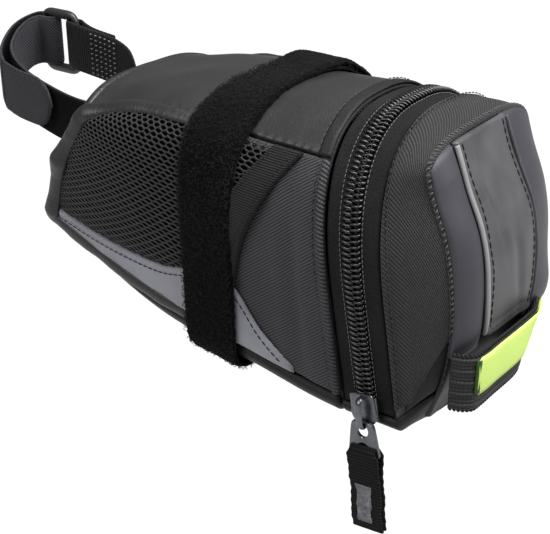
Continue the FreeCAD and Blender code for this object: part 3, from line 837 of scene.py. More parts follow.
for name, side in SIDES.items():
    # Twill side panel, with soft vertical slack folds near the zip.
    S, K = lattice(0.004, 0.988, 120, 0, 1, 100)
    F = side * (top_seam(S) + 0.002 + (BOTTOM_SEAM - 0.005 - top_seam(S)) * K)
    flat = BODY.at(S, F)
    slack = 0.9 * np.sin((S - 0.80) * 52 + 1.6 * K) * np.exp(-((S - 0.87) / 0.06) ** 2) * np.sin(
        math.pi * np.clip(K, 0, 1)
    ) ** 0.5
    side_cloth = cloth(
        f"side_cloth_{name}", BODY, S, F, -1.2, 0.0, TWILL, 1.0,
        bulge=slack + ripple(flat, 30.0, 0.8, 2.0 + side) * np.clip((S - 0.60) / 0.15, 0, 1)
    )
    show(side_cloth, "bag", "ribbed_twill", f"side_panel_{name}")

    # Dark cloth behind the net.
    S, K = lattice(0.02, 1, 40, 0, 1, 50)
    F = top_seam(0.3) + 0.01 + (0.62 - top_seam(0.3)) * K
    S = 0.015 + (pocket_mouth(F) - 0.05 - 0.015) * S
    F = np.maximum(F, top_seam(S) + 0.012 + 0.001 * K)
    backing = cloth(f"pocket_backing_{name}", BODY, S, side * F, 0.10, 0.45, UNDERLAY, 0.6)
    show(backing, "bag", "pocket_mesh")

    # Knitted net.
    flat_points, edges = hexagons(NET_LONG, NET_HIGH, NET_ACROSS, NET_DOWN)
    x, y = flat_points[:, 0] / NET_LONG, flat_points[:, 1] / NET_HIGH
    F = 0.238 + 0.45 * y
    first, last = 0.034, pocket_mouth(F) - 0.085
    S = 0.012 + 0.893 * x
    low = hem_top(S) + 0.006
    inside = (S <= last + 0.012) & (S >= first) & (F <= low + 0.012) & (F >= top_seam(S) + 0.006)
    keep = [e for e in edges if inside[e[0]] and inside[e[1]]]
    wobble = ripple(np.stack([S * 300, F * 300, F * 0], axis=-1), 6.0, 0.0010)
    dive = np.clip(
        np.minimum(
            np.minimum(low - F, F - top_seam(S) - 0.02) / 0.030,
            np.minimum(S - 0.045, last - S) / 0.045
        ),
        0, 1
    )
    at = BODY.at(S, side * (F + wobble), 0.35 + (pocket_lift(S, F) + 0.6) * np.sqrt(dive))
    normals = BODY.normal(S, side * F)
    net = knotted(f"pocket_net_{name}", at, normals, keep, 0.40, NET)
    show(net, "bag", "pocket_mesh", f"mesh_pocket_{name}")

    # Ribbed binding along the pocket's slanting mouth, with two rows of stitches.
    S, F = lattice(0, 1, 20, 0.232, 0.60, 90)
    S = pocket_mouth(F) - 0.105 * (1 - S)
    edge = cloth(f"pocket_edge_{name}", BODY, S, side * F, 0.5, 1.7, BINDING_TAPE, 0.7, bulge=mouth_bulge(F))
    show(edge, "bag", "binding_tape", f"pocket_binding_{name}")
    for k, share in enumerate((0.018, 0.087)):
        F = np.linspace(0.25, 0.585, 120)
        S = pocket_mouth(F) - share
        line, up = seam_line(BODY, S, side * F, 1.60 + mouth_bulge(F))
        show(
            stitches(f"pocket_edge_stitches_{name}_{k + 1}", line, up, THREAD_DARK, 2.0, radius=0.2),
            "bag", "binding_tape"
        )

    # Reflective hem along the pocket's foot.
    S, K = lattice(0.050, 0.84, 110, 0, 1, 24)
    F = hem_top(S) + (BOTTOM_SEAM - 0.006 - hem_top(S)) * K
    hem = cloth(
        f"hem_{name}", BODY, S, side * F, 0.3, 1.25, REFLECTIVE, 0.8,
        bulge=1.3 * (1 - K) ** 2 * np.clip((0.62 - S) / 0.25, 0, 1)
    )
    show(hem, "bag", "reflective_cloth", f"pocket_hem_{name}")
    S = np.linspace(0.06, 0.80, 160)
    line, up = seam_line(BODY, S, side * (hem_top(S) + 0.018), 1.3 + 0.95 * np.clip((0.62 - S) / 0.25, 0, 1))
    show(
        stitches(f"hem_stitches_{name}", line, up, THREAD_DARK, 2.2, share=0.8, radius=0.18), "bag",
        "reflective_cloth"
    )

    # Soft rim where the top cloth and the foot are folded round the pocket's front.
    top_edge = np.linspace(0.60, 0.03, 90)
    path_s = np.concatenate([top_edge, np.full(60, 0.022), np.linspace(0.02, 0.60, 70)])
    path_f = np.concatenate(
        [top_seam(top_edge) + 0.010, np.linspace(0.335, 0.70, 60), np.full(70, BOTTOM_SEAM - 0.014)]
    )
    line = resample(np.stack([path_s * BODY_LONG, path_f * BODY_LONG * GIRTH], axis=-1), 1.0)
    path_s, path_f = line[:, 0] / BODY_LONG, line[:, 1] / BODY_LONG / GIRTH
    for _ in range(3):
        path_s[1:-1] = (path_s[:-2] + path_s[1:-1] * 2 + path_s[2:]) / 4
        path_f[1:-1] = (path_f[:-2] + path_f[1:-1] * 2 + path_f[2:]) / 4
    path, up = seam_line(BODY, path_s, side * path_f, 1.0)
    lump = ripple(path, 9.0, 0.55, 4.0) + 0.12 * ripple(path, 2.4, 1.0, 9.0)
    wide = crosswise(path, up)
    at = np.linspace(0, 1, len(path))
    for corner, sharp in ((0.345, 1.0), (0.49, 1.9), (0.625, 1.3)):
        lump = lump + sharp * (np.clip(1 - np.abs(at - corner) / 0.05, 0, 1) ** 1.5 - 0.25)
    thick = np.interp(
        np.arange(len(path)), [0, 12, len(path) * 0.42, len(path) * 0.62, len(path) - 1],
        [0.35, 1.0, 1.15, 1.15, 0.85]
    )
    profile = np.array([oval((2.9 + 0.5 * q) * k, (1.9 + 0.6 * q) * k, 18) for q, k in zip(lump, thick)])
    rim = sweep(f"rim_{name}", path + up * lump[:, None] * 0.35, wide, up, profile, COATED_ROLL)
    show(rim, "bag", "coated_cloth")

    # Twill piping beside the zip.
    F = np.linspace(0.235, 0.70, 150)
    path, up = seam_line(BODY, 0.988, side * F, 0.55)
    wide = crosswise(path, up)
    piping = sweep(f"piping_{name}", path, wide, up, oval(1.3, 1.25, 14), PIPING)
    show(piping, "bag", "ribbed_twill")
    line, up = seam_line(BODY, 0.962, side * F, 0.35)
    show(stitches(f"side_stitches_{name}", line, up, THREAD_GREY, 2.6, radius=0.17), "bag", "ribbed_twill")

F = np.linspace(-0.225, 0.225, 90)
line, up = seam_line(BODY, 0.954, F, 0.92)
show(stitches("top_stitches", line, up, THREAD_GREY, 2.2, share=0.75, radius=0.19), "bag", "coated_cloth")

S, F = lattice(0.958, 0.9975, 14, -0.70, 0.70, 260)
facing = cloth("zip_facing", BODY, S, F, -1.3, -0.35, COATED_DULL, 0.7)
show(facing, "bag", "coated_cloth", "body_zip_facing")

S, F = lattice(0.02, 0.985, 60, -0.998, 0.998, 200)
lining = cloth(
    "inner_lining", BODY, S, F, -3.2, -2.7, LINING_CLOTH, 0.8,
    bulge=ripple(BODY.at(S, F), 14.0, 0.35, 6.0)
)
show(lining, "bag", "lining_cloth", "body_lining")

# ---------------------------------------------------------------- zip

TAPE_LOW, TAPE_HIGH = -1.6, -1.0


def coil(name, side, shift):
    """One half of the zip: a flattened nylon helix sewn to its tape."""
    f = np.linspace(-0.69, 0.69, 4000)
    line = MOUTH.at(np.full(f.shape, side * 1.45), f, -0.28)
    far = travelled(line)
    pitch, sides = 1.62, 12
    turns = int(far[-1] / pitch)
    t = np.arange(turns * sides) / sides
    f_at = np.interp((t + shift) * pitch, far, f)
    angle = 2 * math.pi * t
    across = -np.cos(angle)
    wire = MOUTH.at(side * (1.42 + 1.50 * across), f_at, -0.20 + 0.72 * np.sin(angle))
    ahead = unit(np.gradient(wire, axis=0))
    up = MOUTH.normal(np.full(f_at.shape, side * 1.4), f_at)
    wide = unit(np.cross(ahead, up))
    deep = unit(np.cross(wide, ahead))
    radius = 0.40 + 0.10 * np.clip(-across, 0, 1) ** 3
    profile = np.array([oval(r, r, 6) for r in radius])
    return sweep(name, wire, wide, deep, profile, NYLON)


for name, side, body in (("body", -1, "bag"), ("lid", 1, "lid")):
    A, F = lattice(COIL_GAP, TAPE_WIDTH - 0.3, 16, -0.715, 0.715, 300)
    tape = cloth(f"tape_{name}", MOUTH, side * A, F, TAPE_LOW, TAPE_HIGH, ZIP_TAPE, 0.5)
    show(tape, body, "zip_tape", f"{name}_zip_tape")
    show(coil(f"coil_{name}", side, 0.25 + 0.25 * side), body, "zip_coil", f"{name}_coil")
    F = np.linspace(-0.70, 0.70, 400)
    line, up = seam_line(MOUTH, np.full(F.shape, side * (3.3 if side > 0 else 4.1)), F, -0.85)
    show(
        stitches(f"tape_stitches_{name}", line, up, THREAD_LIGHT, 1.5, share=0.8, radius=0.15),
        body, "zip_tape"
    )
    line, up = seam_line(MOUTH, side * 1.9, F, 0.42)
    show(
        stitches(f"coil_stitches_{name}", line, up, THREAD_DARK, 1.62, share=0.9, radius=0.2), body,
        "zip_coil"
    )

A, G = lattice(-TAPE_WIDTH - 1.2, TAPE_WIDTH + 0.6, 40, -0.97, 0.97, 60)
hinge = cloth("hinge_strip", MOUTH, A, under(G), -1.7, -0.4, COATED_DULL, 0.8)
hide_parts("body_hinge_strip", "lid_hinge_strip")
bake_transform(hinge)

# ---------------------------------------------------------------- lid

T, F = lattice(0.03, 0.995, 60, -1, 1, 260)
F = F * (0.70 - 0.125 * np.clip((T - 0.42) / 0.58, 0, 1))
flat = LID_SIDE.at(T, F)
front_hem = 0.55 * np.clip((0.175 - T) / 0.012, 0, 1)
belly = 0.5 * np.sin(math.pi * np.clip(T, 0, 1)) + ripple(flat, 22.0, 0.6, 9.0)
gusset = cloth("lid_gusset_cloth", LID_SIDE, T, F, -1.2, 0.0, TWILL_LID, 0.9, bulge=front_hem + belly)
show(gusset, "lid", "ribbed_twill", "lid_gusset")
F = np.linspace(-0.69, 0.69, 500)
for k, (t, out, thread) in enumerate(((0.145, 0.80, THREAD_DARK), (0.955, 0.30, THREAD_GREY))):
    line, up = seam_line(LID_SIDE, t, F, out)
    show(stitches(f"gusset_stitches_{k + 1}", line, up, thread, 2.3, radius=0.18), "lid", "ribbed_twill")

# Dark foot cloth below the band's slanting corners, and the rolled edge where the band meets the rear face.
for name, side in SIDES.items():
    T, F = lattice(0.30, 0.995, 30, 0.55, 0.715, 30)
    show(
        cloth(f"lid_foot_corner_{name}", LID_SIDE, T, side * F, -1.6, -0.65, COATED_DARK, 0.8),
        "lid", "coated_cloth"
    )
F = np.linspace(-0.575, 0.575, 300)
path, up = seam_line(LID_SIDE, 0.985, F, -0.75)
wide = crosswise(path, up)
show(sweep("lid_seam_welt", path, wide, up, oval(1.3, 1.15, 14), TWILL_LID), "lid", "ribbed_twill")

# Overcast seam where the band meets the rear face: short slanting threads.
F = np.linspace(-0.56, 0.56, 600)
line = LID_SIDE.at(np.full(F.shape, 0.985), F, 0.32)
both = resample(line, 1.7)
F_at = np.interp(np.linspace(0, 1, len(both)), np.linspace(0, 1, len(F)), F)
up = LID_SIDE.normal(np.full(F_at.shape, 0.97), F_at)
ahead = unit(np.gradient(both, axis=0))
back = np.cross(ahead, up)
back *= np.sign(back[:, :1] + 1e-9)
pairs = []
for k in range(len(both)):
    size = 0.62 + 0.30 * math.exp(-(F_at[k] / 0.2) ** 4)
    slant = unit(back[k] * 0.75 + ahead[k] * 0.55) * size
    pairs.append((both[k] - slant + up[k] * 0.05, both[k] + slant - up[k] * 0.30, up[k]))
show(threads("lid_overcast_seam", pairs, 0.30, SEAM_THREAD), "lid", "ribbed_twill")

T, G = lattice(0.03, 0.97, 30, -0.96, 0.96, 60)
foot = cloth(
    "lid_foot_cloth", LID_SIDE, T, under(G), -1.2, 0.0, COATED_DULL, 0.9,
    bulge=ripple(LID_SIDE.at(T, under(G)), 18.0, 0.6, 4.0)
)
show(foot, "lid", "coated_cloth", "lid_bottom")

PART = CENTRE_STRIP_HALF / LID_HALF
STRIP_FOOT = -0.33


def strip_centre(v):
    """The centre strip's middle at each height: it is sewn a little to the left, less so at its foot."""
    return -0.145 + 0.10 * np.clip((-0.1 - v) / 0.9, 0, 1)


def strip_foot(u):
    """The strip's lower edge, which slopes down to the right and turns up at its left corner."""
    return STRIP_FOOT - 0.07 * (u / PART + 1) / 2 + 0.02 * np.exp(-((u / PART + 1) / 0.1) ** 2)


def strip_height(u, v, points):
    """How the strip's cloth stands off the lid: its creases, hollows and dents."""
    crease = -0.9 * np.exp(
        -((u * LID_HALF - 3 + 9 * (v - 0.05)) / 2.2) ** 2
    ) * np.exp(-((v - 0.0) / 0.30) ** 2)
    fold = -0.7 * np.exp(-((u * LID_HALF + 6 + 4 * (v - 0.6)) / 1.8) ** 2) * np.exp(-((v - 0.55) / 0.25) ** 2)
    return crease + fold + 0.4 * np.sin(v * 5.0 + 0.8) * np.cos(u * 3.0) + ripple(points, 13.0, 0.6, 12.0)


for name, side in SIDES.items():
    K, V = lattice(0, 1, 50, STRIP_FOOT - 0.10, 0.995, 130)
    near_edge = strip_centre(V) + side * (PART + 0.004)
    U = near_edge + (side * 0.995 - near_edge) * K
    flat = LID_REAR.at(U, V)
    pillow = (1.5 if side < 0 else 0.6) * np.sin(math.pi * np.clip(K, 0, 1)) ** 0.7 * np.clip(
        np.minimum(1 - V, V - STRIP_FOOT + 0.13) / 0.18, 0, 1
    ) ** 0.6
    if side > 0:
        pillow = pillow + 2.4 * np.exp(-((V + 0.35) / 0.2) ** 2) * np.sin(math.pi * np.clip(K, 0, 1)) ** 0.6
    panel = cloth(
        f"lid_side_panel_{name}", LID_REAR, U, V, -0.9, 0.8, LID_CLOTH, 1.6,
        bulge=pillow + ripple(flat, 16.0, 0.4, 7.0)
    )
    show(panel, "lid", "lid_cloth", f"lid_panel_{name}")

U, V = lattice(-0.995, 0.995, 70, -0.995, STRIP_FOOT + 0.05, 50)
show(
    cloth(
        "lid_foot_panel", LID_REAR, U, V, -0.9, 0.2, COATED_DARK, 1.0,
        bulge=ripple(LID_REAR.at(U, V), 14.0, 0.35, 2.0)
    ),
    "lid", "coated_cloth"
)

K, W = lattice(-PART, PART, 80, 0, 1, 150)
V = strip_foot(K) + (0.999 - strip_foot(K)) * W
U = K + strip_centre(V)
flat = LID_REAR.at(U, V)
strip = cloth(
    "lid_centre_cloth", LID_REAR, U, V, 0.2, 1.7, LID_CENTRE, 0.9,
    bulge=strip_height(K, V, flat) + 0.9 * np.clip((0.06 - W) / 0.06, 0, 1)
)
show(strip, "lid", "reflective_cloth", "lid_centre_strip")
for name, side in SIDES.items():
    V = np.linspace(strip_foot(side * PART) + 0.005, 0.975, 150)
    U = strip_centre(V) + side * (PART - 0.004)
    path, up = seam_line(LID_REAR, U, V, 1.75)
    wide = crosswise(path, up)
    # The left fold takes the lighter fold finish, a painted highlight on its crest; the right fold keeps the
    # centre cloth.
    finish, radius = (LID_FOLD_PAINTED_HIGHLIGHT, 0.85) if side < 0 else (LID_CENTRE, 0.5)
    lumpy = ripple(path, 12.0, 0.25, 2.0)[:, None]
    fold = sweep(f"lid_fold_{name}", path + up * lumpy, wide, up, oval(radius, 0.7, 12), finish)
    show(fold, "lid", "reflective_cloth")
    K = np.full(V.shape, side * (PART - 2.4 / LID_HALF))
    U = K + strip_centre(V)
    line, up = seam_line(LID_REAR, U, V, 1.72 + strip_height(K, V, LID_REAR.at(U, V)))
    show(
        stitches(f"lid_stitches_{name}", line, up, THREAD_DARK, 2.6, share=0.94, radius=0.24, sink=0.1),
        "lid", "reflective_cloth"
    )
K = np.linspace(-PART + 2.4 / LID_HALF, PART - 2.4 / LID_HALF, 60)
V = strip_foot(K) + 0.045
line, up = seam_line(
    LID_REAR, K + strip_centre(V), V, 1.8 + strip_height(K, V, LID_REAR.at(K + strip_centre(V), V))
)
show(
    stitches("lid_stitches_foot", line, up, THREAD_DARK, 2.6, share=0.94, radius=0.24), "lid",
    "reflective_cloth"
)

U, V = lattice(-0.92, 0.92, 30, -0.92, 0.92, 50)
show(
    cloth("lid_board", LID_REAR, U, V, -1.7, -1.2, BOARD_CLOTH, 0.6), "lid", "stiffener_board",
    "lid_stiffener"
)

U, V = lattice(-0.96, 0.96, 40, -0.955, 0.965, 60)
show(
    cloth(
        "lid_lining_back", LID_REAR, U, V, -2.7, -2.2, LINING_CLOTH, 0.8,
        bulge=ripple(LID_REAR.at(U, V), 12.0, 0.15, 3.0)
    ),
    "lid", "lining_cloth", "lid_lining"
)
T, F = lattice(0.03, 0.965, 30, -0.9997, 0.9997, 160)
show(
    cloth(
        "lid_lining_side", LID_SIDE, T, F, -2.2, -1.7, LINING_CLOTH, 0.8,
        bulge=ripple(LID_SIDE.at(T, F), 12.0, 0.12, 5.0)
    ),
    "lid", "lining_cloth", "lid_lining"
)

# Binding over the lining's seam at the foot, where the band's two halves stand a little apart.
T, G = lattice(0.03, 0.965, 30, -0.08, 0.08, 12)
show(
    cloth("lid_lining_binding", LID_SIDE, T, under(G), -2.65, -2.15, LINING_CLOTH, 0.4), "lid",
    "lining_cloth"
)


# ---------------------------------------------------------------- upright straps

def strap_frame(path):
    """An upright strap's width and outward directions along its path."""
    ahead = np.gradient(path, axis=0)
    out = unit(np.stack([ahead[:, 1], -ahead[:, 0], np.zeros(len(path))], axis=-1))
    return np.broadcast_to(np.array([0.0, 0.0, 1.0]), path.shape), out


def strap(name, path, width, thick, outside, inside=None, taper=None, selvedge=0.0, lumps=0.0):
    """An upright strap: its right-hand face takes the outside finish. taper gives the width at each point."""
    wide, out = strap_frame(path)
    count = 21
    widths = np.full(len(path), width) if taper is None else taper
    profiles = []
    for k, w in enumerate(widths):
        outline = flat_profile(w, thick, count)
        edge = np.clip((w / 2 - np.abs(outline[:, 0])) / 1.6, 0, 1)
        outline[:, 1] *= 1 - selvedge * (1 - edge)
        if lumps:
            outline[:, 0] *= 1 + lumps * math.sin(k * 2.1) / w
        profiles.append(outline)
    made = sweep(name, path, wide, out, np.array(profiles), outside)
    if inside:
        made.data.materials.append(inside)
        m = len(profiles[0])
        edge = count + 3
        for face in made.data.polygons:
            if len(face.vertices) == 4 and min(
                v % m for v in face.vertices
            ) >= edge - 2 and max(v % m for v in face.vertices) <= edge + count:
                face.material_index = 1
    return made


def beside(route, distance):
    """The same upright strap's route, moved to the right of the way it runs."""
    moved = []
    for i, p in enumerate(route):
        back, on = route[max(i - 1, 0)], route[min(i + 1, len(route) - 1)]
        run = math.hypot(on[0] - back[0], on[1] - back[1])
        moved.append(
            (p[0] + (on[1] - back[1]) / run * distance, p[1] - (on[0] - back[0]) / run * distance, p[2])
        )
    return moved


Z = -68.0
LOOP_WIDTH, LABEL_WIDTH, SEATPOST_STRAP = 18.0, 12.4, 18.5
LOOP = [
    (80.6, -31.6, Z), (84.0, -30.6, Z), (86.5, -28.4, Z), (87.1, -24, Z), (87.3, -17.5, Z),
    (87.8, -7.4, Z)
]
LOOP += [(88.1, 1.5, Z), (87.9, 8, Z), (86.2, 13, Z), (83.8, 18.5, Z), (81.2, 24.5, Z), (79.6, 29.2, Z)]


def hung(route, top, width):
    """A band hung from a level top edge, its lower edge drawn in at the right: its path and its ways."""
    path = even(route, 0.6)
    _, out = strap_frame(path)
    y = path[:, 1]
    tuck = math.radians(26) * np.exp(-((y - 15) / 10) ** 2)
    up = np.array([0, 0, 1.0])
    wide = up * np.cos(tuck)[:, None] + out * np.sin(tuck)[:, None]
    deep = out * np.cos(tuck)[:, None] - up * np.sin(tuck)[:, None]
    droop = np.clip((y - 10) / 20, 0, 1)
    path[:, 2] = top - 4.5 * droop**2 * (3 - 2 * droop)
    return path - wide * (width / 2), wide, deep


path, wide, deep = hung(LOOP, Z + 9, LOOP_WIDTH)
outline = flat_profile(LOOP_WIDTH, 1.2, 41)
outline[:, 1] += 0.16 * np.cos(outline[:, 0] * 2 * math.pi / 3.6) * np.sign(outline[:, 1])
show(sweep("light_loop_webbing", path, wide, deep, outline, LOOP_CLOTH), "lid", "webbing", "light_loop")
for k, edge in enumerate((-8.9, 8.9)):
    at = path + wide * edge
    ahead = unit(np.gradient(at, axis=0))
    twist = [
        (p - a * 0.55 - o * 0.5, p + a * 0.55 + o * 0.5, w * math.copysign(1.0, edge)) for p, a, o,
        w in zip(at[1:-1:2], ahead[1:-1:2], deep[1:-1:2], wide[1:-1:2])
    ]
    show(threads(f"light_loop_edge_{k + 1}", twist, 0.36, LOOP_CLOTH), "lid", "webbing")

path, wide, deep = hung(beside(LOOP[2:-1], 1.35), Z + 8.6, LABEL_WIDTH)
ends = np.minimum(np.arange(len(path)), np.arange(len(path))[::-1]) * 0.6
round_by = 1.3
label_width = LABEL_WIDTH - 2 * (
    round_by - np.sqrt(np.maximum(round_by**2 - np.maximum(round_by - ends, 0) ** 2, 0))
)
outline = flat_profile(1.0, 0.8, 21)
profiles = np.array(
    [np.stack([np.clip(outline[:, 0] * w, -w / 2, w / 2), outline[:, 1]], axis=-1) for w in label_width]
)
label = sweep("loop_label_cloth", path, wide, deep, profiles, LABEL_CLOTH)
show(label, "lid", "bright_label", "loop_label")
# The label's folded end, in the dark copy of its green: painted shade in the fold.
column = np.array([path[1] - deep[1] * 0.35 + wide[1] * z for z in np.linspace(-5.4, 5.4, 30)])
side_wide = np.broadcast_to(unit(path[3] - path[1]), column.shape)
side_out = np.broadcast_to(deep[1], column.shape)
show(
    sweep("loop_label_fold", column, side_wide, side_out, oval(1.0, 0.75, 12), LABEL_FOLD_PAINTED_SHADE), "lid",
    "bright_label"
)


# ---------------------------------------------------------------- strap round the bag

def strap_lift(f):
    """How far the strap round the bag lies off it: over the pockets at the sides, and slack below."""
    def rise(low, high):
        t = np.clip((np.abs(f) - low) / (high - low), 0, 1)
        return t * t * (3 - 2 * t)
    return 0.3 + 1.5 * rise(0.19, 0.27) + 0.5 * rise(0.78, 0.98)


def pile_strap(name, shares, extra, seed):
    """The strap round the bag as a closed sheet: thin at its selvedges and rough with loops."""
    across = np.linspace(-RAIL_STRAP_HALF, RAIL_STRAP_HALF, 50)
    coarse = shares[:: max(len(shares) // 60, 1)]
    rows = []
    for x in across:
        rows.append(np.interp(shares, coarse, station_at(np.full(coarse.shape, x), coarse)))
    S, F = np.array(rows), np.broadcast_to(shares, (len(across), len(shares)))
    base = strap_lift(F) + extra * np.clip((F - 0.02) / 0.12, 0, 1)
    flat = BODY.at(S, F, base)
    edge = np.clip((RAIL_STRAP_HALF - np.abs(across)) / 1.5, 0, 1)[:, None]
    rough = ripple(flat, 0.75, 0.30, seed) + ripple(flat, 1.7, 0.26, seed + 3) + ripple(
        flat, 12.0, 0.25, seed + 5
    )
    upper = BODY.at(S, F, base + 0.75 + 0.85 * edge + rough * (0.35 + 0.65 * edge))
    shift = ripple(flat, 1.6, 0.45, seed + 9) * (1 - edge)
    upper[..., 0] += shift
    lower = BODY.at(S, F, base + 0.05)
    lower[..., 0] += shift
    return slab(name, upper, lower, PILE)


shares = np.concatenate(
    [np.linspace(-0.998, -0.70, 150), np.linspace(-0.699, 0.699, 620), np.linspace(0.70, 0.998, 150)]
)
show(pile_strap("rail_strap_pile", shares, 0.0, 1.0), "bag", "loop_strap", "rail_strap")
tail = pile_strap("rail_strap_tail_pile", np.linspace(0.02, 0.69, 330), STRAP + 0.25, 20.0)
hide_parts("rail_strap_lap", "rail_strap_end")
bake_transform(tail)


def fibres(name, count, shares, base, length, seed):
    """Curls of the pile: thin closed loops of thread that lean every way."""
    rng = np.random.default_rng(seed)
    f = rng.uniform(shares[0], shares[1], count)
    k = rng.uniform(-1, 1, count)
    x = RAIL_STRAP_HALF * 0.98 * np.sign(k) * np.abs(k) ** 0.7
    coarse = np.linspace(shares[0], shares[1], 60)
    low = np.interp(f, coarse, station_at(np.full(coarse.shape, -RAIL_STRAP_HALF), coarse))
    high = np.interp(f, coarse, station_at(np.full(coarse.shape, RAIL_STRAP_HALF), coarse))
    s = low + (high - low) * (x / RAIL_STRAP_HALF + 1) / 2
    normal = BODY.normal(s, f)
    foot = BODY.at(s, f, strap_lift(f) + base)
    lean = rng.normal(0, 0.8, (count, 3))
    lean[:, 0] += 0.9 * np.sign(x) * (np.abs(x) > 9)
    way = unit(normal * 0.8 + lean)
    bend = unit(np.cross(way, rng.normal(0, 1, (count, 3))))
    side = np.cross(bend, way)
    size = length * rng.uniform(0.5, 1.0, count)[:, None]
    rings = []
    for t, r in ((0, 0.8), (0.25, 1.0), (0.5, 1.0), (0.75, 0.9), (1.0, 0.5)):
        a = math.pi * 1.15 * t
        centre = foot + way * size * 0.55 * math.sin(a) + bend * size * 0.55 * (1 - math.cos(a))
        radial = way * math.sin(a) - bend * math.cos(a)
        rings += [centre + (side * math.cos(q) + radial * math.sin(q)) * 0.075 * r for q in (0, 2.094, 4.189)]
    points = np.stack(rings, axis=1).reshape(-1, 3)
    one = tube(5, 3)
    faces = [tuple(15 * k + v for v in face) for k in range(count) for face in one]
    return new_object(name, points, faces, None, PILE_CURL)


show(fibres("rail_strap_curls", 15000, (-0.98, 0.98), 1.45, 1.05, 11), "bag", "loop_strap")

# ---------------------------------------------------------------- strap and ring for the seat post

def round_bar(x, radius, slack):
    """Half a turn round one of the ring's upright bars, on the side of the other bar, pulled slack past it."""
    side = math.copysign(1, RING[0] - x)
    turn = [math.radians(d) for d in (0, 45, 90, 135, 180)]
    return [
        (x + side * (radius + slack) * math.sin(a), RING[1] - radius * math.cos(a), RING[2])
        for a in turn
    ]


near = [(-68.0, -11, -30), (-80, -14.4, -28), (-92, -15.6, -25), (-104, -15, -21.5), (-111, -12.8, -19)]
curl = [(-117, -8.5, -16.5), (-121, -2, -13.6), (-122.8, 4.5, -11.4), (-123.2, 8.6, -10.7)]
back = [
    (-125.2, 14.5, -10), (-126.4, 9, -10.6), (-125.8, 2, -12), (-123, -6, -15),
    (-118.5, -12.5, -18), (-113, -16.5, -19.6)
]
tip = [(-112.4, -16.8, -19.8), (-105, -18.4, -20.8), (-97, -18.8, -21.6), (-87.5, -18.8, -22)]
front_strap = strap(
    "seatpost_strap_cloth", even(near + curl + round_bar(-122.3, 2.9, 4.2) + back, 0.7),
    SEATPOST_STRAP, STRAP, WOVEN, HOOK_SIDE, selvedge=0.35
)
show(front_strap, "bag", "woven_strap", "seatpost_strap")
path = even(tip, 0.5)
left = np.arange(len(path))[::-1] * 0.5
tip_width = SEATPOST_STRAP * np.sqrt(np.clip(1 - np.maximum(1 - left / 8.0, 0) ** 2.2, 0.02, 1))
end = strap(
    "seatpost_strap_tip_cloth", path, SEATPOST_STRAP, STRAP, WOVEN, HOOK_SIDE, taper=tip_width,
    selvedge=0.35
)
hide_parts("seatpost_strap_tip")
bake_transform(end)

out_run = [
    (-66, 11, -31), (-72, 12.5, -28.5), (-75.5, 13.4, -24.5), (-79, 13.8, -17.5), (-84, 14, -14.8),
    (-91, 13.6, -13.2), (-98, 12.8, -12), (-102, 12, -11.2)
]
layer = [(-103, 15.6, -11), (-98, 14.8, -12), (-88, 15.6, -13.6)]
show(
    strap(
        "ring_webbing", even(out_run + round_bar(-105.7, 2.5, 1.6) + layer, 0.6), 18.0, 1.2,
        WEBBING_CLOTH, selvedge=0.25, lumps=0.1
    ),
    "bag", "webbing", "buckle_webbing"
)
run = even(out_run[4:], 0.3)
wide, out = strap_frame(run)
far = travelled(run)
dots = []
for column in range(6):
    for row in range(9):
        at = 2.4 + column * 2.15
        p = np.array([np.interp(at, far, run[:, k]) for k in range(3)])
        k = int(np.interp(at, far, np.arange(len(run))))
        along_run = unit(run[min(k + 1, len(run) - 1)] - run[max(k - 1, 0)])
        face = -out[k] if out[k][1] > 0 else out[k]
        p = p + np.array([0, 0, (row - 4) * 1.85]) + face * 0.66
        dots.append((p - along_run * 0.5, p + along_run * 0.5, face))
show(threads("ring_webbing_stitches", dots, 0.30, THREAD_LIGHT), "bag", "webbing")

# Ring: a moulded frame, fuller along its long bars and with round corners.
corner, half_x, half_z = 3.2, RING_HALF_X - RING_BAR / 2, RING_HALF_Z - RING_BAR / 2
loop = []
for cx, cz, start in ((1, 1, 0), (-1, 1, 90), (-1, -1, 180), (1, -1, 270)):
    for d in range(0, 91, 10):
        a = math.radians(start + d)
        loop.append(
            (
                cx * (half_x - corner) + corner * math.cos(a), 0.0,
                cz * (half_z - corner) + corner * math.sin(a)
            )
        )
loop = resample(np.array(loop + loop[:1]), 0.8)[:-1]
middle = loop / np.array([half_x, 1, half_z])
out_of = unit(np.stack([middle[:, 0] ** 3, middle[:, 1], middle[:, 2] ** 3], axis=-1))
full = 1 + 0.55 * (np.abs(loop[:, 2]) > half_z - 1.5) * np.clip(
    (half_x - 1.0 - np.abs(loop[:, 0])) / 3.0, 0, 1
)
square = [
    (0.95, 0.55), (0.55, 0.95), (-0.55, 0.95), (-0.95, 0.55), (-0.95, -0.55), (-0.55, -0.95),
    (0.55, -0.95), (0.95, -0.55)
]
profile = np.array(
    [
        [(a * RING_BAR / 2 * q - 0.5 * (q - 1), b * RING_BAR / 2 * (0.7 + 0.3 * q)) for a, b in square]
        for q in full
    ]
)
thick_way = np.broadcast_to(np.array([0.0, 1.0, 0.0]), loop.shape)
ring = sweep("seatpost_ring", loop + RING, out_of, thick_way, profile, MOULDED, closed=True)
bevel = ring.modifiers.new("round", "SUBSURF")
bevel.levels = bevel.render_levels = 1
show(applied(ring), "bag", "ring_plastic", "seatpost_buckle")

# ---------------------------------------------------------------- slider and puller

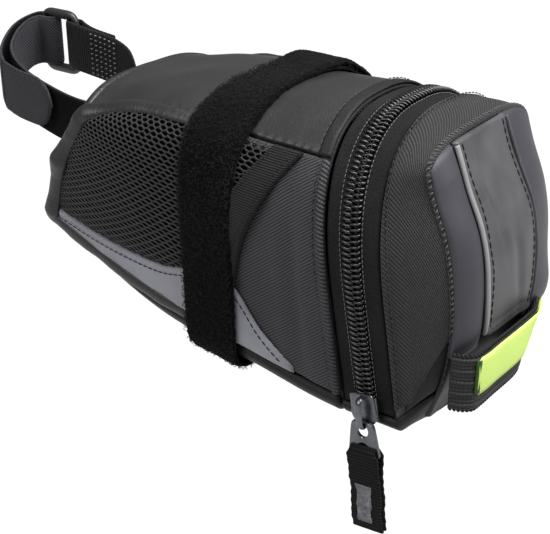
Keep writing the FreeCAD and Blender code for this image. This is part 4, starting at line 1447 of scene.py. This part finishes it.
outline = np.stack(half_outline({k: v[-1] for k, v in SECTION.items()}), axis=-1)
low_end, high_end = [
    np.array([ZIP_X + ZIP_LEAN * (ZIP_TOP - z), -y, z]) for y, z in (outline[32], outline[24])
]
SLIDE_UP = unit(high_end - low_end)
SLIDE_BACK = unit(np.array([1.0, 0, 0]) - SLIDE_UP * SLIDE_UP[0])
SLIDE_IN = np.cross(SLIDE_UP, SLIDE_BACK)
SLIDER_AT = low_end + SLIDE_UP * ((-80.5 - low_end[2]) / SLIDE_UP[2])
LEAN = math.radians(6.0)
PULL_BACK = np.array([math.cos(LEAN), 0, math.sin(LEAN)])
PULL_IN = np.array([0, 1.0, 0])
PULL_UP = np.array([-math.sin(LEAN), 0, math.cos(LEAN)])
PULL_AT = SLIDER_AT + SLIDE_IN * -3.0 + SLIDE_UP * -4.2


def in_frame(points, at, back, inward, up):
    """Points given as (back, inward, up) in a frame, put where the frame stands."""
    p = np.asarray(points, float)
    return at + p[..., :1] * back + p[..., 1:2] * inward + p[..., 2:] * up


def slider_place(points):
    return in_frame(points, SLIDER_AT, SLIDE_BACK, SLIDE_IN, SLIDE_UP)


def puller_place(points):
    return in_frame(points, PULL_AT, PULL_BACK, PULL_IN, PULL_UP)


def plate(outline, y0, y1, round_by, first):
    """A plate's points, with rounded edges, and its faces: outline is (x, z) points, numbered from first."""
    line = np.asarray(outline, float)
    ahead = unit(np.roll(line, -1, axis=0) - np.roll(line, 1, axis=0))
    inset = np.stack([-ahead[:, 1], ahead[:, 0]], axis=-1) * round_by
    if np.sum(np.cross(line, np.roll(line, -1, axis=0))) < 0:
        inset = -inset
    near = [(line + inset, y0), (line + inset * 0.3, y0 + round_by * 0.3), (line, y0 + round_by)]
    rings = near + [(line, y1 - round_by), (line + inset * 0.3, y1 - round_by * 0.3), (line + inset, y1)]
    points = np.concatenate([np.stack([r[:, 0], np.full(len(r), y), r[:, 1]], axis=-1) for r, y in rings])
    return points.tolist(), tube(len(rings), len(line), first)


def faceted(obj):
    """The object with flat faces, as cast and stamped metal has."""
    obj.data.polygons.foreach_set("use_smooth", [False] * len(obj.data.polygons))
    return obj


def moved(obj, place):
    """The object with its points, in millimetres, put where place says."""
    co = np.array([v.co for v in obj.data.vertices]) / MM
    obj.data.vertices.foreach_set("co", (place(co) * MM).ravel())
    return obj


def rounded(corners, radius, per=5):
    """A polygon's corners rounded."""
    made = []
    c = np.asarray(corners, float)
    for k in range(len(c)):
        before, here, after = c[k - 1], c[k], c[(k + 1) % len(c)]
        cut = min(radius, np.linalg.norm(before - here) * 0.45, np.linalg.norm(after - here) * 0.45)
        p, q = here + unit(before - here) * cut, here + unit(after - here) * cut
        for t in np.linspace(0, 1, per):
            made.append((1 - t) ** 2 * p + 2 * t * (1 - t) * here + t * t * q)
    return np.array(made)


def block(x0, x1, z0, z1, radius):
    """A rectangle with rounded corners."""
    return rounded([(x0, z0), (x1, z0), (x1, z1), (x0, z1)], radius)


def outward(obj):
    """Faces turned to look out of the mesh."""
    bm = bmesh.new()
    bm.from_mesh(obj.data)
    bmesh.ops.recalc_face_normals(bm, faces=bm.faces)
    bm.to_mesh(obj.data)
    bm.free()
    return obj


shell = rounded(
    [(-3.9, 5.0), (3.9, 5.0), (4.0, 1.2), (4.6, -2.2), (3.2, -5.0), (-3.2, -5.0), (-4.6, -2.2), (-4.0, 1.2)],
    1.3
)
points, faces = [], []
# Two plates, the sides that fold in from the outer one, and the post. The lid's side stops short of the tape.
for outline, y0, y1, round_by in (
    (shell, -2.15, -1.3, 0.35),
    (shell, 2.0, 2.9, 0.35),
    (block(-4.55, -3.8, 4.2, -3.4, 0.3), -1.6, 0.6, 0.12),
    (block(3.9, 4.55, 4.2, -3.4, 0.3), -1.6, -0.7, 0.12),
    (block(-0.28, 0.28, -3.6, -4.9, 0.2), -1.6, 2.4, 0.1),
):
    made, joined = plate(outline, y0, y1, round_by, len(points))
    points += made
    faces += joined
slider = new_object("zip_slider", slider_place(points), faces, None, GUNMETAL)
show(outward(faceted(slider)), "slider", "slider_metal", "slider_body")

route = even(
    [
        (0, -1.9, 3.3), (0, -2.9, 3.9), (0, -4.1, 3.2), (0, -4.75, 1.0), (0, -4.8, -2.0),
        (0, -4.6, -4.6), (0, -3.8, -5.6), (0, -2.6, -5.6), (0, -1.9, -5.3)
    ],
    0.35
)
wide = np.broadcast_to(np.array([1.0, 0, 0]), route.shape)
ahead = unit(np.gradient(route, axis=0))
deep = np.cross(ahead, wide)
swell = 1.15 - 0.30 * np.abs(np.linspace(-1, 1, len(route))) ** 2
bridge = sweep("zip_slider_bridge", route, wide, deep, np.array([oval(w, 0.42, 14) for w in swell]), GUNMETAL)
show(outward(moved(bridge, slider_place)), "slider", "slider_metal", "slider_bridge")

# Tab: round eye at the top, and a foot whose arch leaves a prong each side of the ribbon.
arch = [(x, -10.8 + 4.2 * (1 - abs(x / 3.7) ** 2.4)) for x in np.linspace(3.7, -3.7, 15)]
half = [(2.2, 0.5), (3.6, 0.1), (4.1, -1.4), (4.7, -5.5), (5.3, -10.3), (4.9, -10.8)]
outline = np.array([(-2.2, 0.5)] + half + arch + [(-x, z) for x, z in half[:0:-1]])
dense = resample(np.concatenate([outline, outline[:1]]), 0.42)[:-1]
centre, eye = np.array([0.0, -2.55]), np.array([1.85, 2.2])
ray = unit(dense - centre)
inner = centre + ray * eye
edge, half = 0.2, 0.6
rows = []
for p, q in zip(inner, dense):
    way = unit(q - p)
    cross = [
        (p + way * edge, half), (q - way * edge, half), (q, half - edge), (q, edge - half),
        (q - way * edge, -half), (p + way * edge, -half), (p, edge - half), (p, half - edge)
    ]
    rows.append([(c[0], h, c[1]) for c, h in cross])
rows = np.array(rows)
n, m = rows.shape[:2]
faces = tube(n, m, closed=True)
points = rows.reshape(-1, 3).tolist()
bar_sides, bar_rings = 10, 8
faces += tube(bar_rings, bar_sides, len(points))
for x in np.linspace(-4.4, 4.4, bar_rings):
    points += [[x, a, b - 9.8] for a, b in oval(0.75, 0.75, bar_sides)]
tab = new_object("zip_pull_tab", puller_place(points), faces, None, GUNMETAL)
show(outward(faceted(tab)), "puller", "slider_metal", "pull_tab")


def ribbon_wave(z):
    """The ribbon's slight wave below the tab."""
    return 0.25 * np.sin(z * 0.45) * np.clip((-z - 14) / 6, 0, 1)


# Ribbon: one length folded over the tab's bar, its two layers sewn together.
fold = [
    (0.85 * math.sin(a) * 1.9, -9.8 + 1.95 * math.cos(a))
    for a in np.linspace(-math.pi / 2, math.pi / 2, 9)
]
route = [
    (-0.78, -36.8), (-0.95, -30), (-0.85, -20), (-1.35, -13.5)
] + fold + [(1.35, -13.5), (0.85, -20), (0.95, -30), (0.78, -36.8)]
path = even([(0, y, z) for y, z in route], 0.5)
wide = np.broadcast_to(np.array([1.0, 0, 0]), path.shape)
deep = np.cross(unit(np.gradient(path, axis=0)), wide)
narrow = np.clip((path[:, 2] + 10.6) / 3.0, 0, 1)
scallop = 0.22 * np.sin(path[:, 2] * 2.2) + 0.18 * np.sin(path[:, 2] * 0.9)
profiles = np.array([flat_profile(10.9 + q - 2.6 * w, 1.15, 15) for q, w in zip(scallop, narrow)])
ribbon = sweep("zip_pull_ribbon", path, wide, deep, profiles, RIBBON)


def waved(points):
    """The ribbon's points, waved and put on the puller."""
    points[:, 1] += ribbon_wave(points[:, 2])
    return puller_place(points)


show(outward(moved(ribbon, waved)), "pull", "pull_webbing", "pull_ribbon")

X, Zs = np.meshgrid(np.linspace(-3.0, 2.2, 26), np.linspace(-33.8, -21, 60), indexing="ij")
ragged = 0.5 * ripple(np.stack([X * 0, Zs, X * 0 + 3], axis=-1), 1.8, 1.0)
X = X + ragged * np.sign(X + 0.4) * (np.abs(X + 0.4) > 2.4)
skin = ribbon_wave(Zs) - 1.58
worn = ripple(np.stack([X, Zs, X * 0], axis=-1), 1.2, 0.12)
upper = puller_place(np.stack([X, skin - 0.12 + worn, Zs], axis=-1))
lower = puller_place(np.stack([X, skin + 0.35, Zs], axis=-1))
show(slab("zip_pull_patch", upper, lower, PATCH), "pull", "grey_patch", "ribbon_patch")

# ---------------------------------------------------------------- hidden parts kept from the frame

for name, finish in {"bottom_stiffener": BOARD_FINISH, "zip_stops": GUNMETAL_CAD}.items():
    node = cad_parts[name]
    if not node.material_slots:
        node.data.materials.append(finish)
    for place in node.material_slots:
        place.material = finish

# ---------------------------------------------------------------- floor, light and camera

TARGET = Vector((-0.0038, 0, -0.0688))
DISTANCE, AZIMUTH, ELEVATION = 0.395, math.radians(36), math.radians(26.3)

mesh = bpy.data.meshes.new("floor")
mesh.from_pydata([(-14, -14, -1.5), (14, -14, -1.5), (14, 14, -1.5), (-14, 14, -1.5)], [], [(0, 1, 2, 3)])
floor = bpy.data.objects.new("floor", mesh)
bpy.context.scene.collection.objects.link(floor)
paint = bpy.data.materials.new("floor_paint")
paint.use_nodes = True
white = {
    "Base Color": (0.1, 0.1, 0.1, 1), "Emission Color": (1, 1, 1, 1), "Emission Strength": 1.0,
    "Roughness": 0.9
}
for key, value in white.items():
    paint.node_tree.nodes["Principled BSDF"].inputs[key].default_value = value
mesh.materials.append(paint)

world = bpy.data.worlds.new("studio")
world.use_nodes = True
world.node_tree.nodes["Background"].inputs[0].default_value = (1.0, 1.0, 1.0, 1)
world.node_tree.nodes["Background"].inputs[1].default_value = 0.26
bpy.context.scene.world = world


def softbox(name, place, size, power):
    """A square area light that looks at the bag."""
    lamp = bpy.data.lights.new(name, "AREA")
    lamp.size, lamp.energy = size, power
    made = bpy.data.objects.new(name, lamp)
    made.location = place
    made.rotation_euler = (TARGET - Vector(place)).to_track_quat("-Z", "Y").to_euler()
    bpy.context.scene.collection.objects.link(made)
    return made


softbox("light_top", (0.25, 0.10, 1.3), 0.9, 38)
softbox("light_back", (0.9, 0.3, 0.7), 0.5, 11)
softbox("light_left", (-0.45, -1.1, 0.9), 0.7, 12)
bpy.context.scene.view_settings.view_transform = "Standard"

camera_data = bpy.data.cameras.new("camera")
camera_data.lens, camera_data.sensor_width = 75.27, 36.0
camera_data.clip_start = 0.01
camera = bpy.data.objects.new("camera", camera_data)
away = Vector(
    (math.sin(AZIMUTH) * math.cos(ELEVATION), -math.cos(AZIMUTH) * math.cos(ELEVATION), math.sin(ELEVATION))
)
camera.location = TARGET + away * DISTANCE
camera.rotation_euler = (-away).to_track_quat("-Z", "Y").to_euler()
bpy.context.scene.collection.objects.link(camera)
bpy.context.scene.camera = camera
